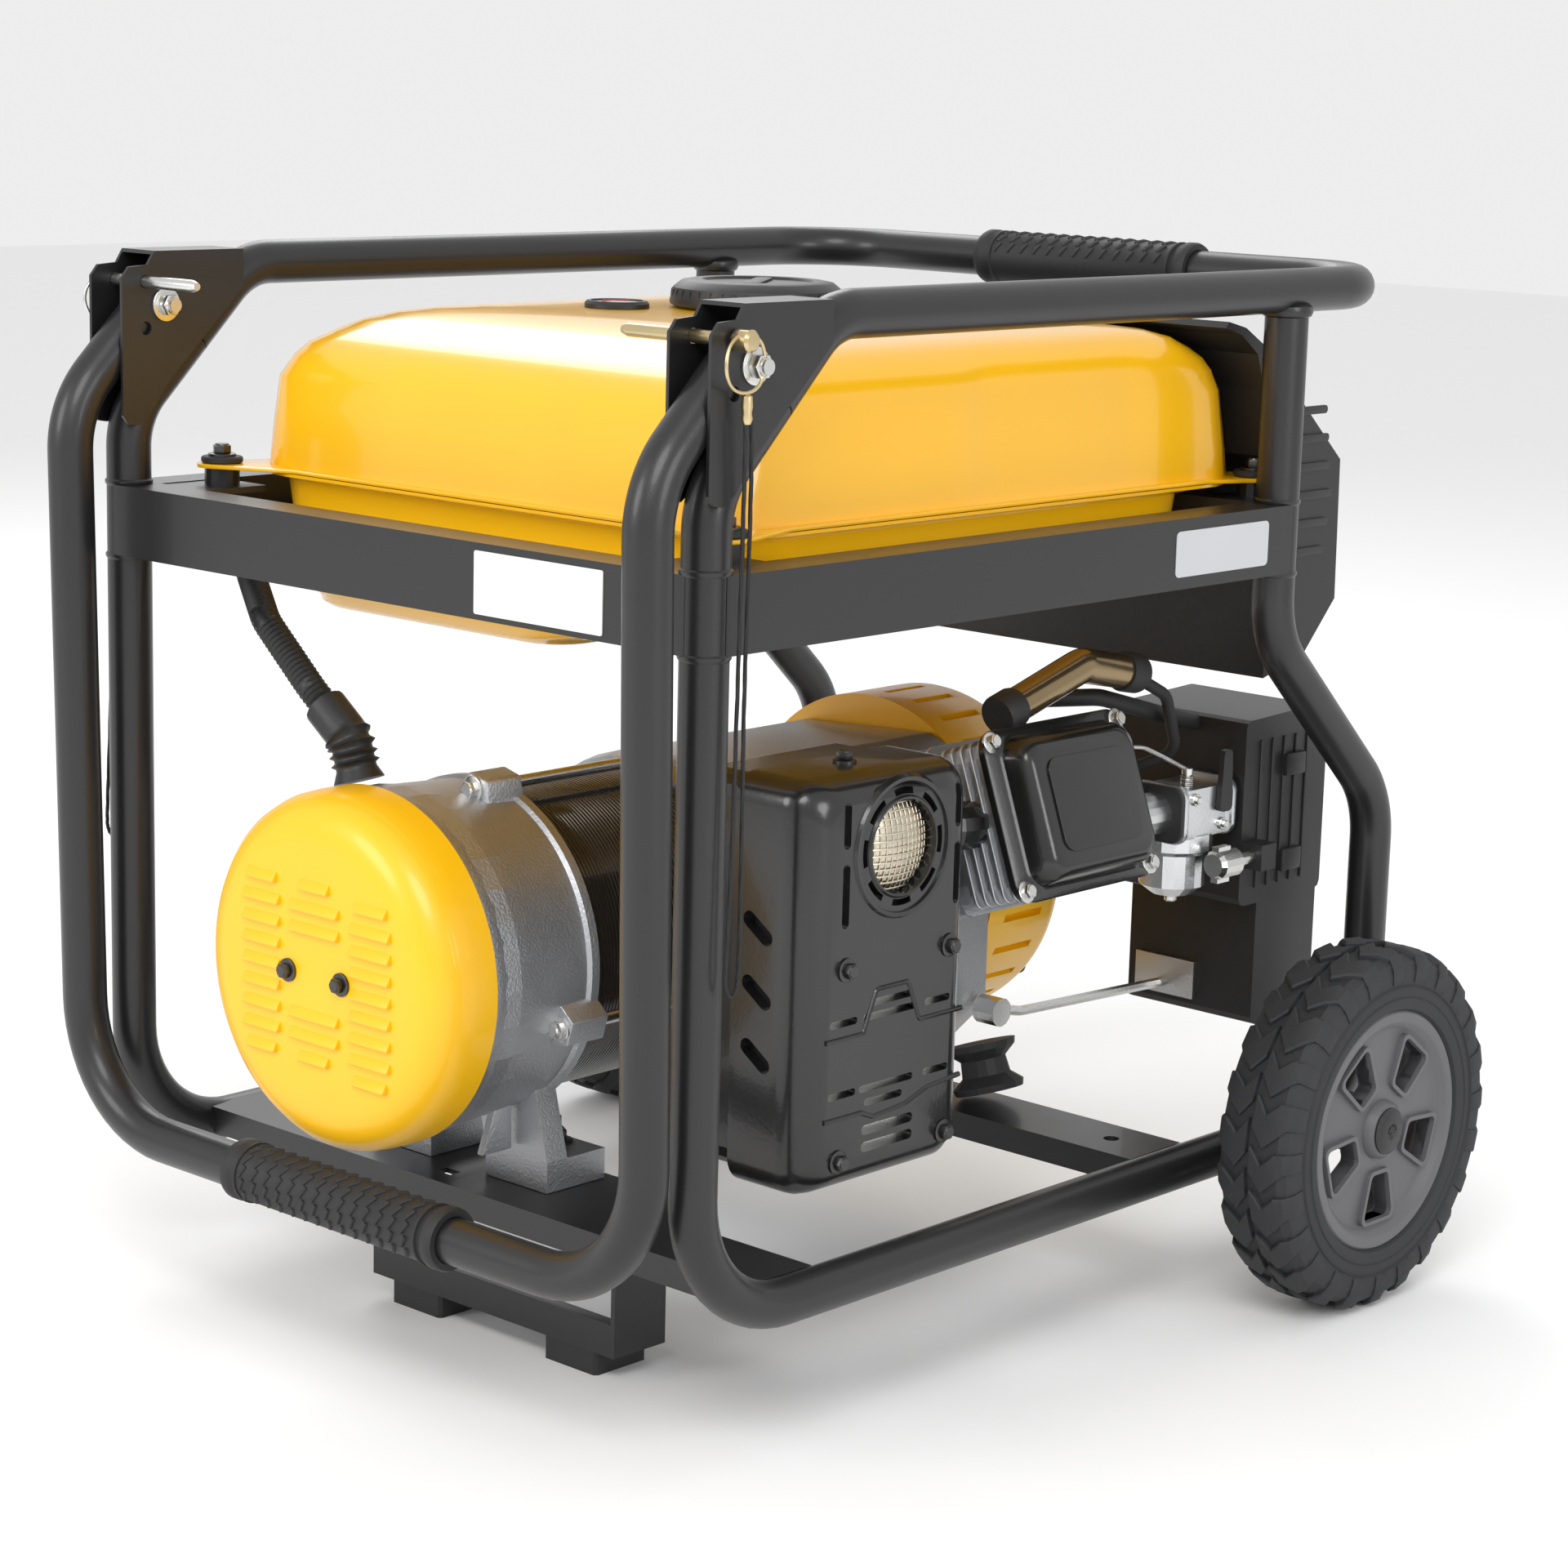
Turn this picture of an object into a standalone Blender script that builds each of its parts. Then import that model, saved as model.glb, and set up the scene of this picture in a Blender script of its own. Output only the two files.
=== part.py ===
"""Portable generator on a wheeled tube frame, with a fold-down handle, as an assembly of named parts.

Run it with  blender --background --python part.py  or from Blender's text editor.
+X runs from the alternator to the control box, -Y is the muffler side, +Z is up, and the floor is Z = 0.
Dimensions below are millimetres; the helpers write every mesh in metres.
"""

import math

import bmesh
import bpy
from mathutils import Matrix, Vector

MM = 0.001
OBJECT_NAME = "portable_generator"

# Distance along X from the datum of the numbers below to the middle of the overall length, where the origin is
CENTRE_X = 8.96

# Tube frame
TUBE_R = 12.7
HALF_WIDTH = 228.0
POST_X = -270.0
PANEL_POST_X = 210.0
LEG_X = 328.5
BOTTOM_Z = 82.0
RAIL_TOP_Z = 593.6
LOOP_END_X = 318.0
SPLICE = (-227.5, 552.5)
BEND_R = 45.0
LEG_BENDS_Z = (281.0, 391.0)
FOOT_BEND_R = 70.0
CLEAR = 0.3

# Corner gussets, fold handle and lock pins
PIVOT = (-255.0, 572.5)
HOLE_BACK = 13.5
HOLE_APART = 13.0
GUSSET_HALF = 15.0
HANDLE_KNEE = (-311.0, 516.5)
HANDLE_FOOT = (-304.0, 104.0)
GRIP_HALF = 88.0
PIN_R = 3.5
PIN_HOLE_R = 3.9

# Rectangular rails that carry the tank
SHELF_LOW = 431.0
SHELF_HIGH = 471.0
TANK_BOLT = (226.0, 199.0)

# Wheels
WHEEL_R = 109.0
WHEEL_X = 221.0
WHEEL_Y = 298.0
RIM_R = 72.0

# Engine and alternator shaft line, along X
SHAFT_Y = 32.0
SHAFT_Z = 223.0
CYLINDER_X = 75.0
CYLINDER_TILT = math.radians(20.0)
HEAD_D = 197.0
COVER_D = 232.4
DIPSTICK_AT = (100.0, 168.0)
AIR_BOX_X = 247.0
TAP_AT = (-196.5, 249.0)

# Fuel tank
TANK_SEAM_Z = 480.0
TANK_TOP_Z = 572.0
CAP_AT = (42.0, 33.0)
GAUGE_AT = (-30.0, 78.0)

# Control box
PANEL_X = 309.0
BREAKER_AT = (35.0, 446.0)


def clear_scene():
    for old in list(bpy.data.objects):
        bpy.data.objects.remove(old, do_unlink=True)


def make_collection(name):
    made = bpy.data.collections.new(name)
    bpy.context.scene.collection.children.link(made)
    return made


def material(name, colour, roughness, metallic=0.0):
    made = bpy.data.materials.new(name)
    made.use_nodes = True
    shader = made.node_tree.nodes["Principled BSDF"]
    shader.inputs["Base Color"].default_value = (*colour, 1.0)
    shader.inputs["Roughness"].default_value = roughness
    shader.inputs["Metallic"].default_value = metallic
    made.diffuse_color = (*colour, 1.0)
    return made


def link_mesh(name, mesh, look, origin, collection):
    """Turns a millimetre mesh into an object in metres whose own origin is at the given place."""
    mesh.name = name
    mesh.transform(Matrix.Scale(MM, 4) @ Matrix.Translation(-Vector(origin)))
    mesh.shade_smooth()
    mesh.set_sharp_from_angle(angle=math.radians(35))
    mesh.materials.clear()
    if look:
        mesh.materials.append(look)
    obj = bpy.data.objects.new(name, mesh)
    obj.location = (Vector(origin) - Vector((CENTRE_X, 0, 0))) * MM
    collection.objects.link(obj)
    return obj


def part(name, mesh, look, origin=(0.0, 0.0, 0.0)):
    return link_mesh(name, mesh, look, origin, PARTS)


def tool(name, mesh):
    made = link_mesh(name, mesh, None, (0.0, 0.0, 0.0), CUTTERS)
    made.hide_render = True
    made.display_type = "WIRE"
    return made


def combine(obj, meshes, operation):
    for mesh in meshes:
        number = len(obj.modifiers)
        step = obj.modifiers.new(f"{operation.lower()}_{number}", "BOOLEAN")
        step.operation = operation
        step.solver = "EXACT"
        step.object = tool(f"{obj.name}_{step.name}", mesh)
    return obj


def add(obj, *meshes):
    return combine(obj, meshes, "UNION")


def cut(obj, *meshes):
    return combine(obj, meshes, "DIFFERENCE")


# ---- shapes: each returns a mesh in millimetres ----

# Where an outline's two values and its depth go, for each axis that the depth can run along
TURNED_TO = {
    "X": Matrix(((0, 0, 1, 0), (1, 0, 0, 0), (0, 1, 0, 0), (0, 0, 0, 1))),
    "Y": Matrix(((1, 0, 0, 0), (0, 0, 1, 0), (0, 1, 0, 0), (0, 0, 0, 1))),
    "Z": Matrix.Identity(4),
}
WELD = 0.001


def faced_out(work, name):
    bmesh.ops.remove_doubles(work, verts=work.verts, dist=WELD)
    bmesh.ops.recalc_face_normals(work, faces=work.faces)
    mesh = bpy.data.meshes.new(name)
    work.to_mesh(mesh)
    work.free()
    return mesh


def baked(data, matrix, screw_steps=0):
    """The closed mesh of a curve, or of a profile with a Screw modifier."""
    maker = bpy.data.objects.new(data.name, data)
    bpy.context.scene.collection.objects.link(maker)
    if screw_steps:
        screw = maker.modifiers.new("turn", "SCREW")
        screw.steps = screw_steps
        screw.render_steps = screw_steps
        screw.use_merge_vertices = True
        screw.merge_threshold = 0.0001
    graph = bpy.context.evaluated_depsgraph_get()
    made = bpy.data.meshes.new_from_object(maker.evaluated_get(graph))
    bpy.data.objects.remove(maker, do_unlink=True)
    made.transform(matrix)
    work = bmesh.new()
    work.from_mesh(made)
    bpy.data.meshes.remove(made)
    return faced_out(work, data.name)


def poly_curve(name, points, closed, radii=None):
    curve = bpy.data.curves.new(name, "CURVE")
    spline = curve.splines.new("POLY")
    spline.points.add(len(points) - 1)
    spline.use_cyclic_u = closed
    for i, point in enumerate(points):
        spline.points[i].co = (*point, 1.0)
        spline.points[i].radius = radii[i] if radii else 1.0
    return curve


def prism(axis, outline, low, high):
    """A flat outline made solid from low to high: axis X takes (y, z), Y takes (x, z), Z takes (x, y)."""
    curve = poly_curve("outline", [(u, v, 0.0) for u, v in outline], closed=True)
    curve.dimensions = "2D"
    curve.fill_mode = "BOTH"
    curve.extrude = (high - low) / 2
    return baked(curve, TURNED_TO[axis] @ Matrix.Translation((0, 0, (low + high) / 2)))


def tube(path, radius=TUBE_R, resolution=5, radii=None):
    """A round bar along a path. radii scales it point by point."""
    curve = poly_curve("path", path, closed=False, radii=radii)
    curve.dimensions = "3D"
    curve.bevel_depth = radius
    curve.bevel_resolution = resolution
    curve.use_fill_caps = True
    return baked(curve, Matrix.Identity(4))


def box(low, high):
    middle = [(a + b) / 2 for a, b in zip(low, high)]
    size = [b - a for a, b in zip(low, high)]
    work = bmesh.new()
    bmesh.ops.create_cube(work, size=1.0, matrix=Matrix.Translation(middle) @ Matrix.Diagonal((*size, 1)))
    return faced_out(work, "box")


def rod(axis, centre, radius, low, high, sides=14):
    place = TURNED_TO[axis] @ Matrix.Translation((*centre, (low + high) / 2))
    work = bmesh.new()
    bmesh.ops.create_cone(
        work, cap_ends=True, segments=sides, radius1=radius, radius2=radius, depth=high - low, matrix=place
    )
    return faced_out(work, "rod")


def lathe(axis, centre, profile, closed, sides):
    mesh = bpy.data.meshes.new("profile")
    count = len(profile)
    edges = [(i, (i + 1) % count) for i in range(count if closed else count - 1)]
    mesh.from_pydata([(r, 0.0, d) for r, d in profile], edges, [])
    return baked(mesh, TURNED_TO[axis] @ Matrix.Translation((*centre, 0)), screw_steps=sides)


def turned(axis, centre, profile, sides=24):
    """A solid of revolution. profile is (radius, depth) pairs, closed flat at both ends."""
    ends = (0.0, profile[0][1]), (0.0, profile[-1][1])
    return lathe(axis, centre, [ends[0], *profile, ends[1]], False, sides)


def turned_ring(axis, centre, profile, sides=24):
    """A ring of revolution: profile is a closed loop of (radius, depth) pairs, clear of the axis."""
    return lathe(axis, centre, profile, True, sides)


def loft(rings):
    """Skins outlines of equal point count into one body, with a flat face at each end."""
    work = bmesh.new()
    rows = [[work.verts.new(point) for point in ring] for ring in rings]
    work.faces.new(rows[0])
    work.faces.new(rows[-1])
    for below, above in zip(rows, rows[1:]):
        for i in range(len(below)):
            work.faces.new((below[i - 1], below[i], above[i], above[i - 1]))
    return faced_out(work, "loft")


def moved(mesh, matrix):
    mesh.transform(matrix)
    return mesh


def rounded_outline(corners, radius, steps=3):
    """A closed outline with each corner replaced by an arc."""
    out = []
    for i, at in enumerate(corners):
        corner = Vector(at)
        before = Vector(corners[i - 1]) - corner
        after = Vector(corners[(i + 1) % len(corners)]) - corner
        out.extend(tuple(p) for p in arc_at(corner, before, after, radius, steps))
    return out


def arc_at(corner, before, after, radius, steps):
    before, after = before.normalized(), after.normalized()
    half = before.angle(after) / 2
    centre = corner + (before + after).normalized() * radius / math.sin(half)
    start = corner + before * radius / math.tan(half) - centre
    end = corner + after * radius / math.tan(half) - centre
    turn = math.pi - 2 * half
    points = []
    for k in range(steps + 1):
        t = turn * k / steps
        points.append(centre + (start * math.sin(turn - t) + end * math.sin(t)) / math.sin(turn))
    return points


def rectangle(x0, x1, y0, y1, radius, steps=3):
    return rounded_outline([(x0, y0), (x1, y0), (x1, y1), (x0, y1)], radius, steps)


def bent(points, radii, steps=4):
    """A path in space whose inner corners are arcs."""
    points = [Vector(p) for p in points]
    path = [points[0]]
    for i, radius in enumerate(radii, start=1):
        before, after = points[i - 1] - points[i], points[i + 1] - points[i]
        path.extend(arc_at(points[i], before, after, radius, steps))
    return path + [points[-1]]


# ---- tube frame ----


def side_frame(side, name):
    y = side * HALF_WIDTH
    sx, sz = SPLICE[0] - CLEAR, SPLICE[1] - CLEAR
    corners = [(sx, y, sz), (POST_X, y, 510), (POST_X, y, BOTTOM_Z), (LEG_X, y, BOTTOM_Z)]
    corners += [(LEG_X, y, LEG_BENDS_Z[0]), (PANEL_POST_X, y, LEG_BENDS_Z[1])]
    corners += [(PANEL_POST_X, y, RAIL_TOP_Z - 4)]
    path = bent(corners, [BEND_R, FOOT_BEND_R, FOOT_BEND_R, 60, 60], 5)
    frame = part(name, tube(path), BLACK_PAINT)
    saddle = rod("X", (y, RAIL_TOP_Z), TUBE_R + CLEAR, PANEL_POST_X - 30, PANEL_POST_X + 30, 20)
    return cut(frame, saddle)


def top_loop():
    y = HALF_WIDTH
    sx, sz = SPLICE[0] + CLEAR, SPLICE[1] + CLEAR
    z = RAIL_TOP_Z
    corners = [(sx, -y, sz), (-186.4, -y, z), (LOOP_END_X, -y, z)]
    corners += [(LOOP_END_X, y, z), (-186.4, y, z), (sx, y, sz)]
    part("top_loop", tube(bent(corners, [BEND_R, 60, 60, BEND_R])), BLACK_PAINT)
    sleeve = [(TUBE_R + CLEAR, -85), (17.5, -85), (17.5, 85), (TUBE_R + CLEAR, 85)]
    part("carry_grip", turned_ring("Y", (LOOP_END_X, z), sleeve, 16), BLACK_RUBBER)


def gusset(side, name):
    """A folded channel over the tube corner; its open end takes the handle leg."""
    y = side * HALF_WIDTH
    outline = [(-285, 511), (-281, 506), (-275, 505), (-266, 511), (-252, 530), (-219, 561)]
    outline += [(-198.5, 581), (-198.5, 602.6), (-262, 602.6), (-267, 595), (-280, 594), (-285, 588)]
    plate = part(name, prism("Y", outline, y - GUSSET_HALF, y + GUSSET_HALF), BLACK_PAINT)
    inner = box((-300, y - GUSSET_HALF + 2, 490), (-180, y + GUSSET_HALF - 2, 600.6))
    low, high = y - 30, y + 30
    hole_x = PIVOT[0] - HOLE_BACK
    holes = [rod("Y", PIVOT, 4.4, low, high, 12)]
    for z in (PIVOT[1] - HOLE_APART, PIVOT[1] + HOLE_APART):
        holes.append(rod("Y", (hole_x, z), PIN_HOLE_R, low, high, 12))
    return cut(plate, inner, *holes)


def shelf_rail_long(side, name):
    y = side * HALF_WIDTH
    low, high = y - TUBE_R, y + TUBE_R
    rail = part(name, box((POST_X, low, SHELF_LOW), (PANEL_POST_X, high, SHELF_HIGH)), BLACK_PAINT)
    copes = [rod("Z", (x, y), TUBE_R + CLEAR, 400, 500, 20) for x in (POST_X, PANEL_POST_X)]
    return cut(rail, *copes)


def shelf_rail_cross(x, tab_to, name):
    """A cross rail with a tab near each end, and on it the pad and the hole of a tank bolt."""
    low, high = x - TUBE_R, x + TUBE_R
    rail = part(name, box((low, -HALF_WIDTH, SHELF_LOW), (high, HALF_WIDTH, SHELF_HIGH)), BLACK_PAINT)
    tabs = []
    for side in (-1, 1):
        y0, y1 = sorted((side * 178, side * 214.5))
        x0, x1 = sorted((x, tab_to))
        tabs.append(box((x0, y0, SHELF_HIGH - 4), (x1, y1, SHELF_HIGH - 0.5)))
    bolt_x = math.copysign(TANK_BOLT[0], x)
    pads = [rod("Z", (bolt_x, s * TANK_BOLT[1]), 10, SHELF_HIGH - 3, TANK_SEAM_Z - CLEAR) for s in (-1, 1)]
    add(rail, *tabs, *pads)
    copes = [rod("Z", (x, s * HALF_WIDTH), TUBE_R + CLEAR, 400, 500, 20) for s in (-1, 1)]
    x0, x1 = sorted((x, x - math.copysign(20, x)))
    for side in (-1, 1):
        y0, y1 = sorted((side * (HALF_WIDTH - TUBE_R - CLEAR), side * (HALF_WIDTH + 20)))
        copes.append(box((x0, y0, 400), (x1, y1, 500)))
    holes = [rod("Z", (bolt_x, s * TANK_BOLT[1]), 4.2, 455, 500, 8) for s in (-1, 1)]
    return cut(rail, *copes, *holes)


def crossmember(name, half_plan, slots):
    """A folded channel between the bottom tubes, open underneath, coped to them at each end.

    half_plan holds (x, y) points on the +Y half, from the alternator side round to the panel side.
    """
    high = BOTTOM_Z + 12
    plan = half_plan + [(x, -y) for x, y in reversed(half_plan)]
    bar = part(name, prism("Z", plan, high - 16, high), BLACK_PAINT)
    x0, x1 = half_plan[0][0], half_plan[-1][0]
    within = [(x0 + 3 if x == x0 else x - 3, y) for x, y in half_plan]
    within = [(x, y + 5) if y == HALF_WIDTH else (x, y) for x, y in within]
    under = prism("Z", within + [(x, -y) for x, y in reversed(within)], high - 30, high - 3)
    copes = []
    for y in (-HALF_WIDTH, HALF_WIDTH):
        corners = [(POST_X, y, 200), (POST_X, y, BOTTOM_Z), (200, y, BOTTOM_Z)]
        copes.append(tube(bent(corners, [FOOT_BEND_R], 5), TUBE_R + CLEAR, 7))
    ends = [box((x0 - 5, s * 236 - 12, 60), (x1 + 5, s * 236 + 12, 120)) for s in (-1, 1)]
    return cut(bar, under, *slots, *copes, *ends)


def crossmembers():
    slots = []
    for y in (-14, 78):
        slots.append(rod("Z", (-160, y), 5, 70, 110, 10))
    slots.append(box((-207, 22, 70), (-199, 34, 110)))
    wide = [(-220, HALF_WIDTH), (-173, HALF_WIDTH), (-173, 130), (-140, 106), (-140, 0)]
    wide = [(-220, 0), *wide]
    crossmember("alternator_crossmember", wide, slots)
    holes = [rod("Z", (128, y), 5, 70, 110, 10) for y in (-190, 190)]
    straight = [(103, 0), (103, HALF_WIDTH), (152, HALF_WIDTH), (152, 0)]
    crossmember("engine_crossmember", straight, holes)


def foot_bracket():
    """A folded strip: a flat sole with a lip in front and a leg up to the crossmember at each end."""
    sole = part("foot_bracket", box((-196, -100, 14), (-156, 100, 17)), BLACK_PAINT)
    lip = box((-196, -100, 14), (-193, 100, 33))
    legs = []
    for side in (-1, 1):
        y0, y1 = sorted((side * 100, side * 97))
        legs.append(box((-196, y0, 14), (-156, y1, BOTTOM_Z + 12 - 3.3)))
    add(sole, lip, *legs)
    for side, name in ((-1, "foot_near"), (1, "foot_far")):
        y0, y1 = sorted((side * 43, side * 85))
        outline = rectangle(-195, -155, y0, y1, 2, 1)
        part(name, prism("Z", outline, 0.0, 14 - CLEAR), BLACK_RUBBER)


def axle(side, name):
    """A stub axle on a plate that is welded to the bottom tube."""
    y = side * HALF_WIDTH
    face = side * (HALF_WIDTH + TUBE_R + CLEAR)
    back = side * (HALF_WIDTH + TUBE_R + 5)
    outline = rounded_outline([(200, 68), (248, 68), (242, 132), (206, 132)], 6, 2)
    plate = part(name, prism("Y", outline, *sorted((face, back))), BLACK_PAINT, (WHEEL_X, y, WHEEL_R))
    depths = [(11, back - side * 1), (11, side * 271.5), (6, side * 271.5), (6, side * 320.4)]
    depths += [(9, side * 320.4), (9, side * 323), (5, side * 325)]
    return add(plate, turned("Y", (WHEEL_X, WHEEL_R), depths, 12))


# ---- fold handle ----


def fold_handle():
    y = HALF_WIDTH
    top = (PIVOT[0] + 6.5, PIVOT[1] + 6.5)
    corners = [(top[0], -y, top[1]), (HANDLE_KNEE[0], -y, HANDLE_KNEE[1])]
    corners += [(HANDLE_FOOT[0], -y, HANDLE_FOOT[1]), (HANDLE_FOOT[0], y, HANDLE_FOOT[1])]
    corners += [(HANDLE_KNEE[0], y, HANDLE_KNEE[1]), (top[0], y, top[1])]
    path = bent(corners, [60, 72, 72, 60], 5)
    handle = part("fold_handle", tube(path), BLACK_PAINT, (PIVOT[0], 0, PIVOT[1]))
    hole = (PIVOT[0] - HOLE_BACK, PIVOT[1] - HOLE_APART)
    for at, radius in ((PIVOT, 4.4), (hole, PIN_HOLE_R)):
        cut_through(handle, at, radius)
    sleeve = [(TUBE_R + CLEAR, -GRIP_HALF), (16.5, -GRIP_HALF), (16.5, GRIP_HALF), (TUBE_R + CLEAR, GRIP_HALF)]
    part("handle_grip", turned_ring("Y", HANDLE_FOOT, sleeve, 16), BLACK_RUBBER)


def cut_through(obj, at, radius):
    for side in (-1, 1):
        y = side * HALF_WIDTH
        step = obj.modifiers.new(f"hole_{at[0]:.0f}_{at[1]:.0f}_{side}", "BOOLEAN")
        step.operation = "DIFFERENCE"
        step.solver = "EXACT"
        step.object = tool(f"{step.name}_tool", rod("Y", at, radius, y - 30, y + 30, 12))


def pivot_bolt(side, name):
    y = HALF_WIDTH
    profile = [(6.5, y + 21), (6.5, y + 15.3), (4, y + 15.3), (4, y - 15.3), (6.5, y - 15.3)]
    profile += [(6.5, y - 22), (4, y - 22), (4, y - 25)]
    profile = [(r, side * d) for r, d in profile]
    part(name, turned("Y", PIVOT, profile, 12), BRIGHT_ZINC, (PIVOT[0], side * y, PIVOT[1]))


def lock_pin(side, name):
    """A headed pin parked in the upper hole, with its pull ring through the head."""
    at = (PIVOT[0] - HOLE_BACK, PIVOT[1] + HOLE_APART)
    y = HALF_WIDTH
    profile = [(4.6, y + 27), (5.6, y + 26), (5.6, y + 17), (PIN_R, y + 17), (PIN_R, y - 58), (2.2, y - 61)]
    profile = [(r, side * d) for r, d in profile]
    pin = part(name, turned("Y", at, profile, 12), BRIGHT_ZINC, (at[0], side * y, at[1]))
    hang = side * (y + 22)
    wire = [(14 + 0.9 * math.cos(t), hang + 0.9 * math.sin(t)) for t in (0, 1.05, 2.09, 3.14, 4.19, 5.24)]
    return add(pin, turned_ring("Y", (at[0], at[1] - 11), wire, 20))


def lanyard_route(side):
    """Both ends sit in the ferrule under the pull ring; the cord hangs as one long loop."""
    x = PIVOT[0] - HOLE_BACK
    top = PIVOT[1] + HOLE_APART - 27
    y = side * (HALF_WIDTH + 22)
    down = [(x, y, top), (x + 1, y, top - 25), (x + 2, y - side * 1.5, top - 80)]
    down += [(x + 1.5, y - side * 2, top - 150), (x - 1, y - side * 1, top - 230)]
    down += [(x - 3.5, y - side * 1, top - 280), (x - 3, y - side * 1, top - 292), (x + 1, y - side * 1, top - 297)]
    back = [(x + 5, y - side * 1, top - 291), (x + 6, y - side * 1, top - 270), (x + 6, y - side * 1, top - 220)]
    back += [(x + 6, y - side * 1.5, top - 150), (x + 6.5, y - side * 1, top - 80)]
    back += [(x + 5.5, y, top - 25), (x + 3.5, y, top - 3)]
    return down + back


def smooth(points, steps):
    """Points along a smooth curve (Catmull-Rom) through the given ones."""
    points = [Vector(p) for p in points]
    ends = [points[0] * 2 - points[1], *points, points[-1] * 2 - points[-2]]
    out = []
    for a, b, c, d in zip(ends, ends[1:], ends[2:], ends[3:]):
        for k in range(steps):
            t = k / steps
            cubic = (b * 3 - a - c * 3 + d) * t**3 + (a * 2 - b * 5 + c * 4 - d) * t**2
            out.append((cubic + (c - a) * t + b * 2) / 2)
    return out + [points[-1]]


def lanyard(side, name):
    return part(name, tube(smooth(lanyard_route(side), 5), 1.2, 2), CORD_BLACK)


# ---- wheels ----


def wheel(side, tyre_name, hub_name):
    centre = (WHEEL_X, WHEEL_R)
    origin = (WHEEL_X, side * WHEEL_Y, WHEEL_R)
    half = [(RIM_R, 23), (79, 26), (97, 26), (105, 22), (WHEEL_R, 13)]
    outer = [(r, side * (WHEEL_Y + d)) for r, d in half]
    inner = [(r, side * (WHEEL_Y - d)) for r, d in reversed(half)]
    part(tyre_name, turned_ring("Y", centre, outer + inner, 36), TYRE_RUBBER, origin)
    rim = RIM_R - CLEAR
    depths = [(6.3, 22), (17, 22), (17, 16), (60, 16), (63, 22), (rim, 22), (rim, -22), (62, -22)]
    depths += [(60, 8), (17, 8), (17, -26), (6.3, -26)]
    loop = [(r, side * (WHEEL_Y + d)) for r, d in depths]
    hub = part(hub_name, turned_ring("Y", centre, loop, 30), WHEEL_GREY, origin)
    windows = []
    for k in range(5):
        window = box((28, WHEEL_Y * side - 40, -11), (54, WHEEL_Y * side + 40, 11))
        turn = Matrix.Rotation(math.radians(72 * k + 18), 4, "Y")
        windows.append(moved(window, Matrix.Translation((WHEEL_X, 0, WHEEL_R)) @ turn))
    return cut(hub, *windows)


# ---- fuel tank ----


def tank_ring(x0, x1, y0, y1, z, radius):
    return [(px, py, z) for px, py in rectangle(x0, x1, y0, y1, radius, 4)]


def flange_outline(x0, x1, y):
    """A rounded rectangle with an ear at each corner for the tank bolts."""
    points = []
    for sx, sy in ((-1, -1), (1, -1), (1, 1), (-1, 1)):
        edge = x0 if sx < 0 else x1
        ear = (sx * (TANK_BOLT[0] + 14), sy * (TANK_BOLT[1] + 13))
        long_side = [(edge - sx * 45, sy * y), (ear[0] - sx * 14, ear[1])]
        short_side = [(ear[0], ear[1] - sy * 14), (edge, sy * (y - 45))]
        run = long_side + short_side
        if sx * sy > 0:
            run.reverse()
        points += run
    return points


def tank():
    upper = [tank_ring(-212, 228, -190, 190, TANK_SEAM_Z + 1, 22), tank_ring(-206, 220, -188, 188, 533, 22)]
    upper += [tank_ring(-189, 211, -183, 183, 552, 24), tank_ring(-160, 192, -174, 174, 564, 24)]
    upper += [tank_ring(-122, 160, -157, 157, 570, 22), tank_ring(-90, 118, -122, 122, TANK_TOP_Z, 20)]
    shell = part("tank_upper", loft(upper), YELLOW_GLOSS)
    flange = prism("Z", flange_outline(-216, 232, 194), TANK_SEAM_Z, TANK_SEAM_Z + 2.5)
    add(shell, flange)
    well = rod("Z", CAP_AT, 25, 520, 600, 20)
    bolts = [rod("Z", (sx * TANK_BOLT[0], sy * TANK_BOLT[1]), 4.2, 470, 490, 8) for sx in (-1, 1) for sy in (-1, 1)]
    cut(shell, well, *bolts)
    z = TANK_SEAM_Z - CLEAR
    lower = [tank_ring(-216, 232, -194, 194, z, 40), tank_ring(-216, 232, -194, 194, z - 2, 40)]
    lower += [tank_ring(-206, 190, -187, 187, z - 3, 36), tank_ring(-205, 190, -184, 184, 455, 36)]
    lower += [tank_ring(-202, 186, -176, 180, 430, 34), tank_ring(-195, 172, -120, 178, 418, 30)]
    lower += [tank_ring(-189, 160, -40, 174, 404, 26), tank_ring(-181, 150, -30, 166, 399, 22)]
    part("tank_lower", loft(lower), YELLOW_GLOSS)
    gauge = [(19, TANK_TOP_Z + CLEAR), (19, TANK_TOP_Z + 3), (16.5, TANK_TOP_Z + 4.5)]
    part("fuel_gauge", turned("Z", GAUGE_AT, gauge, 20), BLACK_PLASTIC)


def fuel_cap():
    z = TANK_TOP_Z
    profile = [(23, z - 22), (23, z + 0.4), (50, z + 0.4), (52, z + 3), (50, z + 12), (44, z + 16.5), (36, z + 17)]
    profile += [(32, z + 15.5)]
    part("fuel_cap", turned("Z", CAP_AT, profile, 28), BLACK_PLASTIC, (*CAP_AT, z))


# ---- control box ----


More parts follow.
